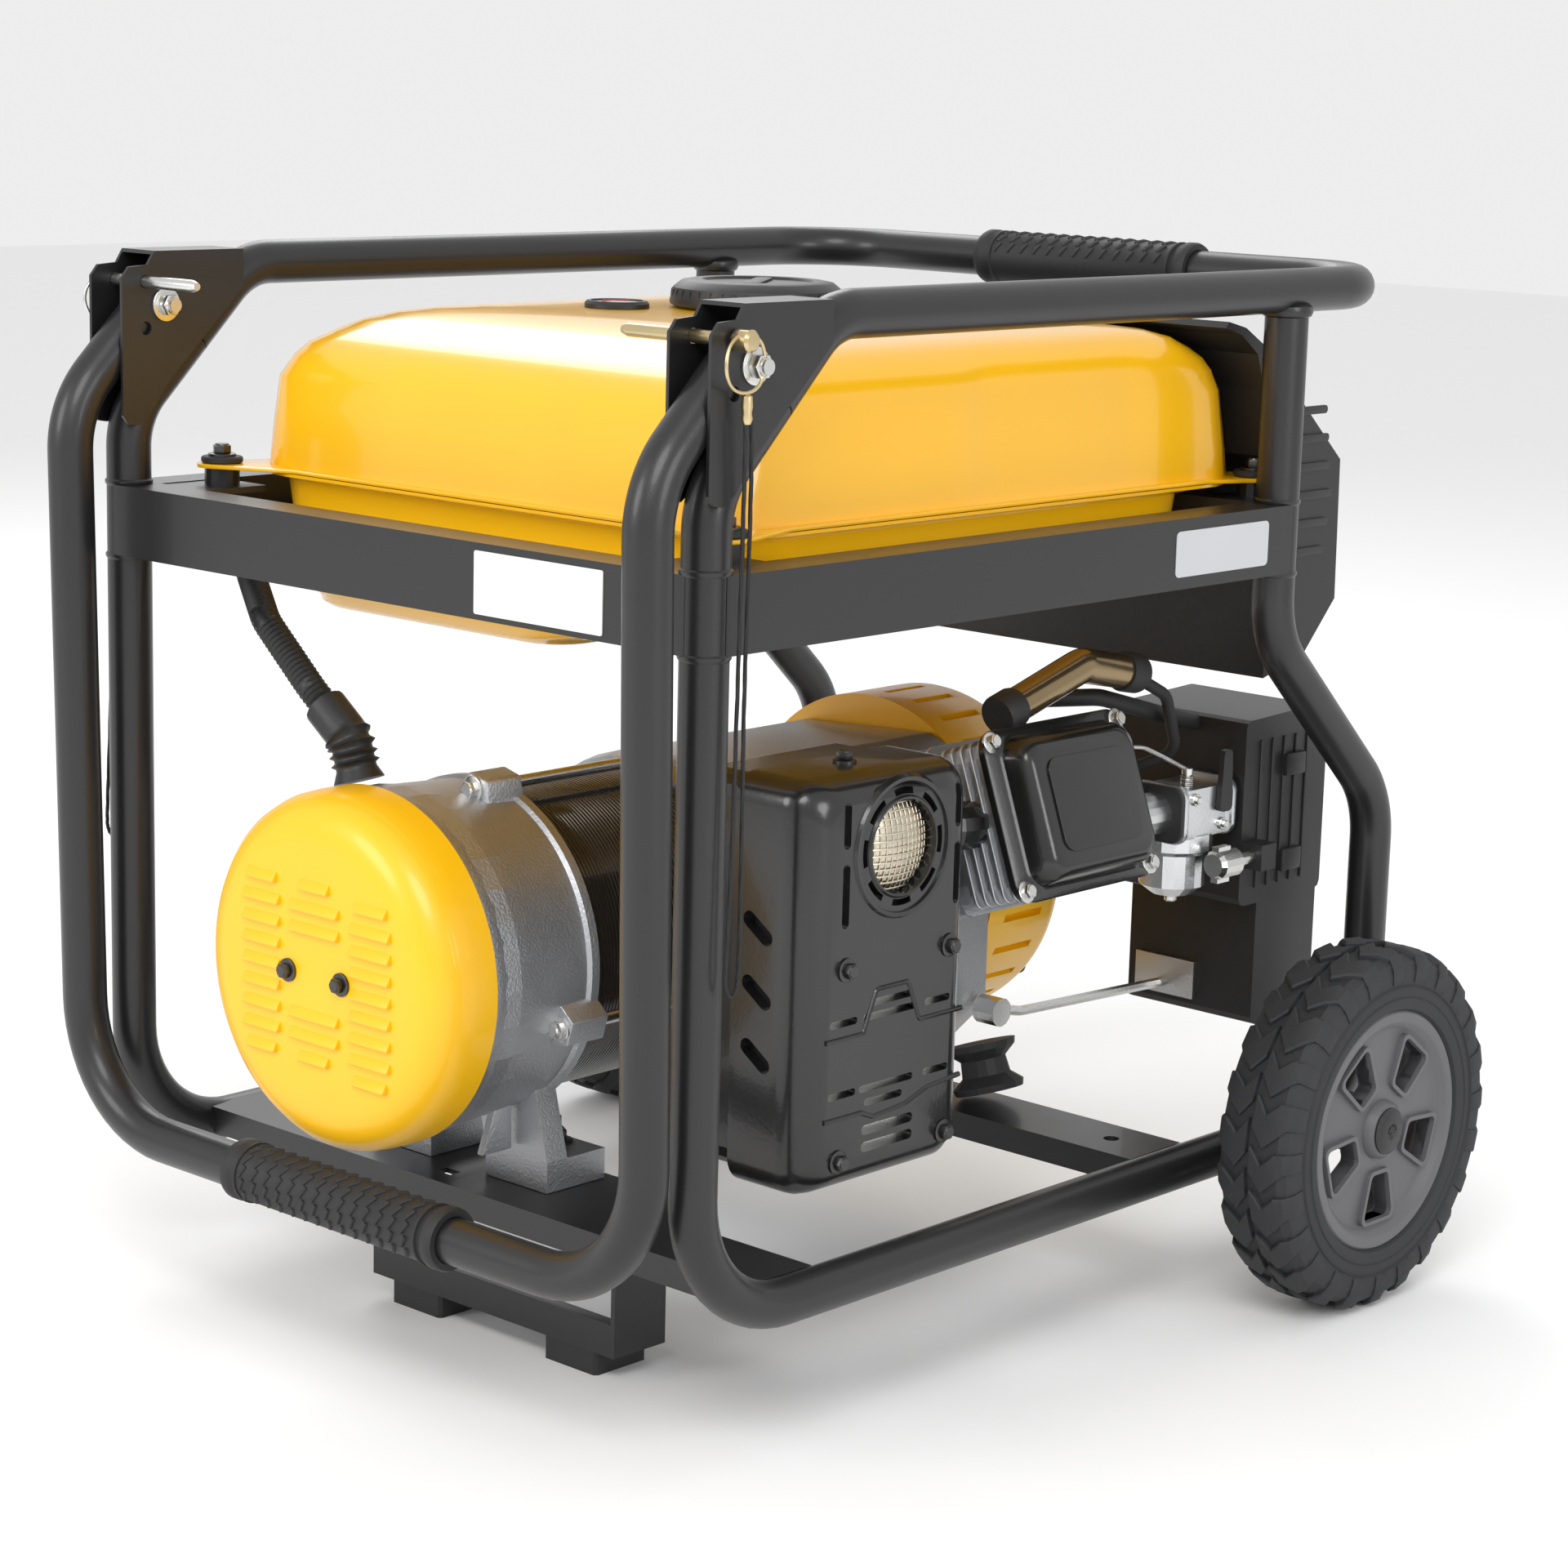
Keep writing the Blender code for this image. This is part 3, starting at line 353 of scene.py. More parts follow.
TYRE = look("tyre_rubber", (0.02, 0.021, 0.023), 0.72, grain=700, bump=0.14, patch=0.3, rough_patch=0.1)
WHEEL = look("wheel_grey", (0.1, 0.1, 0.108), 0.46, grain=1500, bump=0.06, patch=0.08, rough_patch=0.06)
ENAMEL = look(
    "exhaust_enamel", (0.01, 0.01, 0.01), 0.24, coat=0.25, grain=420, bump=0.05, patch=0.2,
    rough_patch=0.08,
)
CAST = look(
    "cast_alloy", (0.5, 0.51, 0.53), 0.46, metal=1.0, grain=620, bump=0.3, patch=0.1, rough_patch=0.1,
)
ALLOY = look(
    "smooth_alloy", (0.68, 0.69, 0.7), 0.3, metal=1.0, grain=900, bump=0.08, patch=0.06, rough_patch=0.1,
)
ZINC = look(
    "zinc_plate", (0.66, 0.66, 0.64), 0.26, metal=1.0, grain=700, bump=0.04, patch=0.1, rough_patch=0.12,
)
GOLD_ZINC = look(
    "yellow_zinc", (0.62, 0.5, 0.28), 0.3, metal=1.0, grain=700, bump=0.04, patch=0.18, rough_patch=0.12,
)
DARK_STEEL = look(
    "dark_steel", (0.09, 0.09, 0.09), 0.34, metal=1.0, grain=900, bump=0.06, patch=0.2, rough_patch=0.1,
)
BRONZE = look(
    "plug_bronze", (0.3, 0.22, 0.12), 0.2, metal=0.9, grain=500, bump=0.02, patch=0.25, rough_patch=0.08,
)
WINDING = look(
    "stator_enamel", (0.018, 0.015, 0.012), 0.16, coat=0.4, grain=350, bump=0.03, patch=0.3,
    rough_patch=0.06,
)
STEEL = look("machined_steel", (0.4, 0.4, 0.41), 0.35, metal=1.0, grain=900, bump=0.06)
MESH_STEEL = look("screen_steel", (0.62, 0.56, 0.45), 0.3, metal=1.0, grain=900, bump=0.05, patch=0.2)
PANEL = look("panel_grey", (0.05, 0.05, 0.055), 0.4, grain=1500, bump=0.08, patch=0.08, rough_patch=0.05)
RED = look("switch_red", (0.5, 0.02, 0.015), 0.3, grain=1200, bump=0.03, patch=0.06)
WHITE = look("plate_white", (0.75, 0.75, 0.73), 0.35, grain=800, bump=0.02, patch=0.03)
SILVER = look("plate_silver", (0.55, 0.56, 0.58), 0.35, metal=0.4, grain=800, bump=0.02, patch=0.03)
CORD = look("cord_black", (0.012, 0.012, 0.012), 0.7, grain=2600, bump=0.3, patch=0.3)
GLASS = look(
    "gauge_glass", (0.5, 0.52, 0.53), 0.08, coat=0.8, grain=300, bump=0.004, patch=0.05,
    rough_patch=0.03,
)


def piece(name, mesh, finish, body="frame", replaces=(), sharp=35):
    """A visible piece on a body of the frame, from a mesh in the datum's millimetres."""
    mesh.transform(TO_METRES)
    mesh.shade_smooth()
    mesh.set_sharp_from_angle(angle=math.radians(sharp))
    mesh.materials.clear()
    mesh.materials.append(finish)
    obj = bpy.data.objects.new(name, mesh)
    bpy.context.scene.collection.objects.link(obj)
    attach(obj, body)
    if replaces:
        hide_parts(*replaces)
    return obj


def dress(finish, *names):
    """Gives CAD nodes that are shown as they are a better material."""
    for name in names:
        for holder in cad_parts[name].material_slots:
            holder.material = finish


# ---- camera and light ----


def camera_and_stage():
    """The camera at the front left, a pale floor, and four soft lamps in a bright room."""
    data = bpy.data.cameras.new("camera")
    data.lens = 83.8
    data.sensor_width = 36.0
    data.clip_end = 50
    cam = bpy.data.objects.new("camera", data)
    bpy.context.scene.collection.objects.link(cam)
    yaw, pitch, roll = math.radians(47.61), math.radians(11.36), math.radians(1.48)
    ahead = Vector((math.sin(yaw) * math.cos(pitch), math.cos(yaw) * math.cos(pitch), -math.sin(pitch)))
    right = Vector((math.cos(yaw), -math.sin(yaw), 0))
    up = right.cross(ahead)
    turned_right = right * math.cos(roll) + up * math.sin(roll)
    turned_up = up * math.cos(roll) - right * math.sin(roll)
    spin = Matrix((turned_right, turned_up, -ahead)).transposed().to_4x4()
    cam.matrix_world = Matrix.Translation(Vector((-1545.04 - CENTRE_X, -1446.96, 721.83)) * MM) @ spin
    bpy.context.scene.camera = cam

    floor = bpy.data.meshes.new("floor")
    floor.from_pydata([(-9, -9, 0), (9, -9, 0), (9, 9, 0), (-9, 9, 0)], [], [(0, 1, 2, 3)])
    ground = bpy.data.objects.new("floor", floor)
    bpy.context.scene.collection.objects.link(ground)
    floor.materials.append(look("floor_pale", (0.92, 0.92, 0.92), 0.75, grain=60, bump=0.0, patch=0.005))

    world = bpy.data.worlds.new("studio")
    world.use_nodes = True
    world.node_tree.nodes["Background"].inputs["Color"].default_value = (1, 1, 1, 1)
    world.node_tree.nodes["Background"].inputs["Strength"].default_value = 0.85
    bpy.context.scene.world = world
    lamps = (
        ("key", (-2.2, -1.6, 2.6), 1.6, 46),
        ("side", (-0.2, -2.6, 1.1), 1.1, 16),
        ("end", (-2.6, 0.9, 1.4), 1.2, 22),
        ("back", (1.6, 2.2, 2.4), 1.8, 26),
    )
    for name, at, size, watts in lamps:
        lamp = bpy.data.lights.new(name, "AREA")
        lamp.shape = "DISK"
        lamp.size = size
        lamp.energy = watts
        holder = bpy.data.objects.new(name, lamp)
        bpy.context.scene.collection.objects.link(holder)
        holder.location = at
        holder.rotation_mode = "QUATERNION"
        holder.rotation_quaternion = (Vector((0, 0, 0.3)) - Vector(at)).to_track_quat("-Z", "Y")
    bpy.context.scene.view_settings.view_transform = "Standard"


# ---- lanyards ----


def lanyard_route(side):
    """Down from the pin's ring, round the bottom of the loop and back up."""
    x, top, y = -268.5, 558.5, side * 250
    down = [(x, y, top), (x + 1, y, top - 25), (x + 2, y - side * 1.5, top - 80)]
    down += [(x + 1.5, y - side * 2, top - 150), (x - 1, y - side * 1, top - 230)]
    down += [
        (x - 3.5, y - side * 1, top - 280), (x - 3, y - side * 1, top - 292),
        (x + 1, y - side * 1, top - 297),
    ]
    back = [
        (x + 5, y - side * 1, top - 291), (x + 6, y - side * 1, top - 270),
        (x + 6, y - side * 1, top - 220),
    ]
    back += [(x + 6, y - side * 1.5, top - 150), (x + 6.5, y - side * 1, top - 80)]
    return down + back + [(x + 5.5, y, top - 25), (x + 3.5, y, top - 3)]


def lanyard(side, which):
    """A twisted cord that hangs in a loop from its lock pin."""
    path = smooth(lanyard_route(side), 6)
    strands = []
    for phase in range(3):
        turn = [phase * 2.094 + i * 0.9 for i in range(len(path))]
        strand = [p + Vector((math.cos(t), math.sin(t), 0)) * 0.45 for p, t in zip(path, turn)]
        strands.append(tube(strand, 0.72, 2))
    cord = piece(f"cord_{which}", joined(*strands), CORD, f"pin_{which}", [f"lanyard_{which}"])


camera_and_stage()
lanyard(-1, "near")
lanyard(1, "far")


# ---- tube frame ----

TUBE_R = 12.7
HALF_WIDTH = 228  # middle of the near tubes to the middle plane
LOOP_Z = 593.6
GRIP_X = 318
HANDLE_FOOT = (-304, 104)
FOLD_PIVOT = (-255, 572.5)
LOCK_PIN = (-268.5, 585.5)
WHEEL_AT = (221, 109)
WHEEL_Y = 298


def frame_tubes():
    """The bent tubes with their weld beads, and the paint of the folded and cut frame nodes."""
    for side, which in ((-1, "near"), (1, "far")):
        y = side * HALF_WIDTH
        corners = [(-227.8, y, 552.2), (-270, y, 510), (-270, y, 82), (328.5, y, 82), (328.5, y, 281)]
        corners += [(210, y, 391), (210, y, 583)]
        rail = tube(bent(corners, [45, 70, 70, 60, 60]), TUBE_R, 9)
        bead = [(12.6, 578.5), (14.2, 579.5), (15.2, 582), (14.5, 585), (12, 586.5)]
        weld = turned("Z", (210, y), bead, 40)
        seam = [(12.6, 428), (13.6, 429.5), (13.6, 431), (12.6, 432)]
        extra = [weld]
        for x in (-270, 210):
            extra.append(turned("Z", (x, y), seam, 32))
            extra.append(moved(turned("Z", (x, y), seam, 32), Matrix.Translation((0, 0, 42))))
        piece(f"side_tube_{which}", joined(rail, *extra), FRAME_BLACK, "frame", [f"side_frame_{which}"])
    y, z = HALF_WIDTH, LOOP_Z
    corners = [
        (-227.2, -y, 552.8), (-186.4, -y, z), (GRIP_X, -y, z), (GRIP_X, y, z), (-186.4, y, z),
        (-227.2, y, 552.8),
    ]
    piece(
        "loop_tube", tube(bent(corners, [45, 60, 60, 45]), TUBE_R, 9), FRAME_BLACK, "frame",
        ["top_loop"],
    )
    corners = [
        (-248.5, -y, 579), (-311, -y, 516.5), (-304, -y, 104), (-304, y, 104), (-311, y, 516.5),
        (-248.5, y, 579),
    ]
    folding = tube(bent(corners, [60, 72, 72, 60]), TUBE_R, 9)
    piece("handle_tube", folding, FRAME_BLACK, "handle", ["fold_handle"])
    dress(
        FRAME_BLACK, "gusset_near", "gusset_far", "shelf_rail_near", "shelf_rail_far",
        "shelf_rail_alternator_end",
    )
    dress(
        FRAME_BLACK, "shelf_rail_panel_end", "alternator_crossmember", "engine_crossmember",
        "foot_bracket",
    )
    dress(FRAME_BLACK, "axle_near", "axle_far")
    dress(RUBBER, "foot_near", "foot_far")


def grip(name, centre, half, body, node, upward):
    """A moulded sleeve with a collar at each end and a field of slanted ribs on its outer side."""
    x, z = centre
    profile = [
        (13, -half), (16.4, -half), (17.4, -half + 2), (17.4, -half + 7), (16, -half + 9),
        (16, half - 9),
    ]
    profile += [(17.4, half - 7), (17.4, half - 2), (16.4, half), (13, half)]
    sleeve = ring("Y", centre, profile, 48)
    ribs = []
    count = int((2 * half - 40) / 10)
    for k in range(count + 1):
        y = -half + 20 + k * (2 * half - 40) / count
        for around in range(-3, 3):
            a0 = math.radians(upward + around * 26)
            arc = [a0 + math.radians(t * 5.5) for t in range(5)]
            path = [Vector((x + 16 * math.cos(a), y + (a - a0) * 9, z + 16 * math.sin(a))) for a in arc]
            ribs.append(tube(path, 1.35, 2))
    lips = [
        ring("Y", centre, [(15.8, d - 1), (17.2, d - 0.6), (17.2, d + 0.6), (15.8, d + 1)], 48)
        for d in (-half + 13, half - 13)
    ]
    piece(name, joined(sleeve, *ribs, *lips), RUBBER, body, [node])


def frame_hardware():
    """Pivot bolts, lock pins with their rings, grips, foot bolts and hub caps."""
    for side, which in ((-1, "near"), (1, "far")):
        y = side * HALF_WIDTH
        pivot = FOLD_PIVOT
        head = hex_bolt("Y", pivot, y + side * 15.2, side, 6.5)
        nut = hex_bolt("Y", pivot, y - side * 15.2, -side, 6.5)
        shank = turned("Y", pivot, sorted([(4, y - 25), (4, y + 25)], key=lambda p: p[1]), 24)
        piece(f"pivot_hardware_{which}", joined(head, nut, shank), ZINC, "frame", [f"pivot_bolt_{which}"])
        at = LOCK_PIN
        profile = [
            (1.5, y + side * 27.4), (4.2, y + side * 27), (5.6, y + side * 25.6), (5.6, y + side * 17),
        ]
        profile += [
            (5.0, y + side * 16.4), (3.5, y + side * 16.2), (3.5, y - side * 57), (2.2, y - side * 61),
        ]
        pin = turned("Y", at, profile, 32)
        hang = Vector((at[0], y + side * 22, at[1] - 11))
        arc = [k * math.tau / 48 for k in range(49)]
        loop = [
            hang + Vector((14 * math.sin(t), side * 0.6 * math.sin(3 * t), 14 * math.cos(t)))
            for t in arc
        ]
        wire = tube(loop, 0.95, 4)
        ferrule = [(1.0, 572), (2.6, 571), (2.9, 566), (2.4, 563), (2.9, 560), (2.0, 557.5)]
        ferrule = [(r, d - 12) for r, d in ferrule]
        clip = turned("Z", (at[0] + 1.6, y + side * 22), ferrule, 20)
        piece(
            f"pin_{which}_zinc", joined(pin, wire, clip), GOLD_ZINC if side < 0 else ZINC,
            f"pin_{which}", [f"lock_pin_{which}"],
        )
    grip("loop_grip", (GRIP_X, LOOP_Z), 84, "frame", "carry_grip", 90)
    grip("handle_sleeve", HANDLE_FOOT, 87, "handle", "handle_grip", 150)
    bolts = []
    for y in (-14, 78):
        bolts.append(hex_bolt("Z", (-160, y), 112.2, 1, 7, stud=8))
    piece("alternator_foot_bolts", joined(*bolts), DARK_STEEL)
    sides = [hex_bolt("Y", (-176, 84), s * 100.2, s, 5) for s in (-1, 1)]
    piece("foot_bracket_bolts", joined(*sides), DARK_STEEL)
    hubs = [
        turned("Y", WHEEL_AT, [(14, s * 321), (14, s * 323), (10, s * 325), (3, s * 325)], 40)
        for s in (-1, 1)
    ]
    for hub, which in zip(hubs, ("near", "far")):
        piece(f"hub_cap_{which}", hub, PLASTIC, f"wheel_{which}")


# ---- wheels ----


def wheel(side, which):
    """A tyre with two staggered rows of lugs, and its hub."""
    at = WHEEL_AT
    y = side * WHEEL_Y
    half = [
        (71.8, 22), (73, 24.2), (78, 25.4), (84, 25), (95, 24.6), (101, 23), (104.6, 18), (105.4, 9),
        (105.6, 0),
    ]
    profile = [(r, y + d) for r, d in half] + [(r, y - d) for r, d in reversed(half[:-1])]
    body = ring("Y", at, profile, 96)
    beads = [
        ring("Y", at, [(r - 1, y + s * 24.4), (r, y + s * 25.9), (r + 1, y + s * 24.4)], 96)
        for s in (-1, 1)
        for r in (80, 87)
    ]
    lugs = []
    count = 24
    rows = [
        (1.5, 108.9, 0.0), (9, 108.9, 0.35), (17, 108.3, 0.1), (22, 105.5, 0.0), (25.2, 99, 0.0),
        (25.6, 91, 0.0),
    ]
    for k in range(count):
        for flank in (-1, 1):
            base = math.tau * (k + (0.5 if flank > 0 else 0)) / count
            width = math.tau / count * (0.72 if k % 2 else 0.6)
            outline = []
            for across, r, skew in rows:
                middle = base + skew * math.tau / count
                narrow = 1.0 if across < 20 else 0.72
                row = []
                for u in (-0.5, -0.42, 0.42, 0.5):
                    lift = r if abs(u) < 0.45 else r - 1.0
                    a = middle + u * width * narrow
                    row.append((lift, a, across))
                outline.append(row)
            work = bmesh.new()
            top = [[work.verts.new(polar(at, r, a, y + flank * d)) for r, a, d in row] for row in outline]
            low = [
                [
                    work.verts.new(polar(at, r - 5, a, y + flank * (d - (2 if d > 20 else 0))))
                    for r, a, d in row
                ]
                for row in outline
            ]
            for upper, flip in ((top, False), (low, True)):
                for i in range(len(rows) - 1):
                    for j in range(3):
                        face = (upper[i][j], upper[i][j + 1], upper[i + 1][j + 1], upper[i + 1][j])
                        work.faces.new(face[::-1] if flip else face)
            for i in range(len(rows) - 1):
                for j in (0, 3):
                    work.faces.new((top[i][j], top[i + 1][j], low[i + 1][j], low[i][j]))
            for i in (0, len(rows) - 1):
                for j in range(3):
                    work.faces.new((top[i][j], top[i][j + 1], low[i][j + 1], low[i][j]))
            lugs.append(faced_out(work))
    piece(
        f"tyre_tread_{which}", joined(body, *beads, *lugs), TYRE, f"wheel_{which}", [f"tyre_{which}"],
        sharp=28,
    )
    hub_disc(side, which, at, y)


def polar(at, radius, angle, y):
    """A point at a radius and angle round a wheel's axle."""
    return (at[0] + radius * math.cos(angle), y, at[1] + radius * math.sin(angle))


def hub_disc(side, which, at, y):
    """The wheel's dished disc with five windows and a raised lip round each."""
    rim = [
        (6.3, 24), (15, 24), (17, 22), (18, 18), (58, 17), (61, 18), (64, 22), (66, 22.8), (70.5, 22.8),
        (71.6, 22),
    ]
    rim += [(71.6, -22), (64, -22), (61, 9), (18, 9), (17, -26), (6.3, -26)]
    disc = ring("Y", at, [(r, y + side * d) for r, d in rim], 96)
    window = rounded([(27, -8), (55, -15), (55, 15), (27, 8)], 3.5, 4)
    border = rounded([(24.5, -10), (57, -18), (57, 18), (24.5, 10)], 4.5, 4)
    cuts = []
    lips = []
    for k in range(5):
        turn = Matrix.Translation((at[0], 0, at[1])) @ Matrix.Rotation(math.radians(72 * k + 18), 4, "Y")
        low, high = sorted((y - side * 10, y + side * 40))
        cuts.append(moved(prism("Y", window, low, high), turn))
        low, high = sorted((y + side * 8, y + side * 20.5))
        lip = carved(prism("Y", border, low, high), prism("Y", window, low - 5, high + 5))
        lips.append(moved(eased(lip, 0.7, 2, 60), turn))
    disc = carved(disc, *cuts)
    piece(f"hub_disc_{which}", joined(disc, *lips), WHEEL, f"wheel_{which}", [f"wheel_hub_{which}"])


# ---- tank ----

CAP_AT = (42, 33)
GAUGE_AT = (-30, 78)
TANK_BOLTS = [(sx * 226, sy * 199) for sx in (-1, 1) for sy in (-1, 1)]


def tank():
    """The pressed upper shell with its seam flange, the lower shell, and the ear bolts."""
    stations = [
        (481, -212, 228, 190, 24), (500, -210, 225, 189.4, 24), (533, -206, 220, 188, 25),
        (545, -198, 216, 185.6, 27),
    ]
    stations += [
        (552, -190, 211, 183, 28), (558, -176, 203, 179, 30), (564, -160, 192, 174, 30),
        (568, -140, 176, 166, 28),
    ]
    stations += [(570.4, -120, 156, 154, 26), (571.7, -100, 130, 132, 24), (572, -84, 112, 116, 22)]
    rings = []
    for z, x0, x1, y, r in stations:
        row = [Vector((px, py, z)) for px, py in rectangle(x0, x1, -y, y, r, 10)]
        rings.append(densely(row, 140))
    for row in rings:
        z = row[0].z
        for p in row:
            depth = 2.2 * bump_step(abs(p.y), 172, 186) * (
                bump_step(p.x, -30, -10) - bump_step(p.x, 120, 140)
            )
            depth *= bump_step(z, 484, 500) * (1 - bump_step(z, 552, 566))
            p.y -= math.copysign(depth, p.y)
            dent = 2.0 * (1 - bump_step(p.x, -206, -196)) * (
                bump_step(p.y, -70, -50) - bump_step(p.y, 60, 80)
            )
            p.x += dent * bump_step(z, 484, 500) * (1 - bump_step(z, 545, 560))
    shell = loft(rings)
    flange = prism("Z", flange_outline(), 480, 482.4)
    well = ring(
        "Z", CAP_AT, [(25, 560), (25, 574.5), (27.5, 575.4), (30, 574), (33, 571.6), (33, 560)], 64,
    )
    holes = [turned("Z", at, [(4.3, 470), (4.3, 490)], 20) for at in TANK_BOLTS]
    shell = carved(shell, turned("Z", CAP_AT, [(25, 520), (25, 600)], 48))
    flange = carved(eased(flange, 0.8, 2), *holes)
    piece("tank_shell", joined(shell, flange, well), YELLOW, "frame", ["tank_upper"], sharp=50)
    low = [
        (479.7, -216, 232, -194, 194, 40), (477.9, -216, 232, -194, 194, 40),
        (477.3, -212, 226, -191, 191, 38),
    ]
    low += [
        (475, -206, 190, -187, 187, 36), (455, -205, 190, -184, 184, 36),
        (436, -203, 187, -178, 181, 35),
    ]
    low += [
        (427, -201, 184, -168, 180, 34), (418, -196, 173, -122, 178, 31), (410, -192, 166, -76, 176, 29),
    ]
    low += [
        (404, -188, 160, -40, 173, 27), (401, -184, 155, -34, 169, 25), (399.2, -178, 148, -28, 164, 22),
    ]
    rows = []
    for z, x0, x1, y0, y1, r in low:
        rows.append(densely([Vector((px, py, z)) for px, py in rectangle(x0, x1, y0, y1, r, 10)], 140))
    piece("tank_belly", loft(rows), YELLOW, "frame", ["tank_lower"], sharp=50)
    piece("tank_bolts", joined(*[hex_bolt("Z", at, 486.4, 1, 5.5) for at in TANK_BOLTS]), DARK_STEEL)
    washer = [(11, 482.5), (12, 483.4), (12, 485.4), (11, 486.3)]
    piece("tank_washers", joined(*[turned("Z", at, washer, 32) for at in TANK_BOLTS]), RUBBER)


def bump_step(value, low, high):
    """A smooth rise from 0 at low to 1 at high."""
    t = min(1.0, max(0.0, (value - low) / (high - low)))
    return t * t * (3 - 2 * t)


def densely(row, count):
    """The closed outline, taken again at a set number of points."""
    closed = row + [row[0]]
    marks = [0.0]
    for a, b in zip(closed, closed[1:]):
        marks.append(marks[-1] + (b - a).length)
    out = []
    i = 0
    for k in range(count):
        at = marks[-1] * k / count
        while marks[i + 1] < at:
            i += 1
        t = (at - marks[i]) / max(1e-9, marks[i + 1] - marks[i])
        out.append(closed[i].lerp(closed[i + 1], t))
    return out


def flange_outline():
    """The seam's outline, with an ear at each corner."""
    points = []
    for sx, sy in ((-1, -1), (1, -1), (1, 1), (-1, 1)):
        edge = -216 if sx < 0 else 232
        ear = (sx * 240, sy * 212)
        run = [(edge - sx * 45, sy * 194), (ear[0] - sx * 14, ear[1]), (ear[0] - sx * 5, ear[1] - sy * 1)]
        run += [(ear[0], ear[1] - sy * 8), (ear[0], ear[1] - sy * 16), (edge, sy * 149)]
        if sx * sy > 0:
            run.reverse()
        points += run
    return points


def cap_and_gauge():
    """The knurled filler cap, and the gauge's bezel, window and needle."""
    at = CAP_AT
    profile = [
        (23, 552), (23, 572.6), (49, 572.6), (51.4, 574), (52, 576), (50, 584), (45, 588), (40, 588.9),
        (33, 588.9),
    ]
    profile += [(31.5, 587.4), (29, 587.2)]
    lid = turned("Z", at, profile, 96)
    ribs = []
    for k in range(40):
        turn = Matrix.Translation((*at, 0)) @ Matrix.Rotation(math.tau * k / 40, 4, "Z")
        ribs.append(
            moved(prism("Y", [(49.6, 575), (51.8, 575), (50.9, 583), (48, 583)], -1.4, 1.4), turn)
        )
    bar = prism("Z", rectangle(-29, 29, -5, 5, 4.5, 5), 586.5, 588.8)
    bar = moved(eased(bar, 0.8), Matrix.Translation((*at, 0)) @ Matrix.Rotation(0.6, 4, "Z"))
    piece("cap_lid", joined(lid, *ribs, bar), PLASTIC, "cap", ["fuel_cap"])
    spot = GAUGE_AT
    bezel = ring("Z", spot, [(15, 572.3), (19, 572.3), (19, 574.6), (17.6, 576.3), (15.6, 576.3)], 48)
    piece("gauge_bezel", bezel, PLASTIC, "frame", ["fuel_gauge"])
    piece(
        "gauge_window", turned("Z", spot, [(15.7, 573), (15.7, 575.4), (12, 576), (4, 576.2)], 48),
        GLASS,
    )
    needle = prism("Z", [(-42, 77.2), (-20, 77.6), (-20, 78.4), (-42, 78.8)], 575.9, 576.5)
    piece("gauge_needle", eased(needle, 0.1, 1), RED)


frame_tubes()
frame_hardware()
wheel(-1, "near")
wheel(1, "far")
tank()
cap_and_gauge()


# ---- alternator ----

SHAFT_Y, SHAFT_Z = 32, 223
SHAFT = (SHAFT_Y, SHAFT_Z)


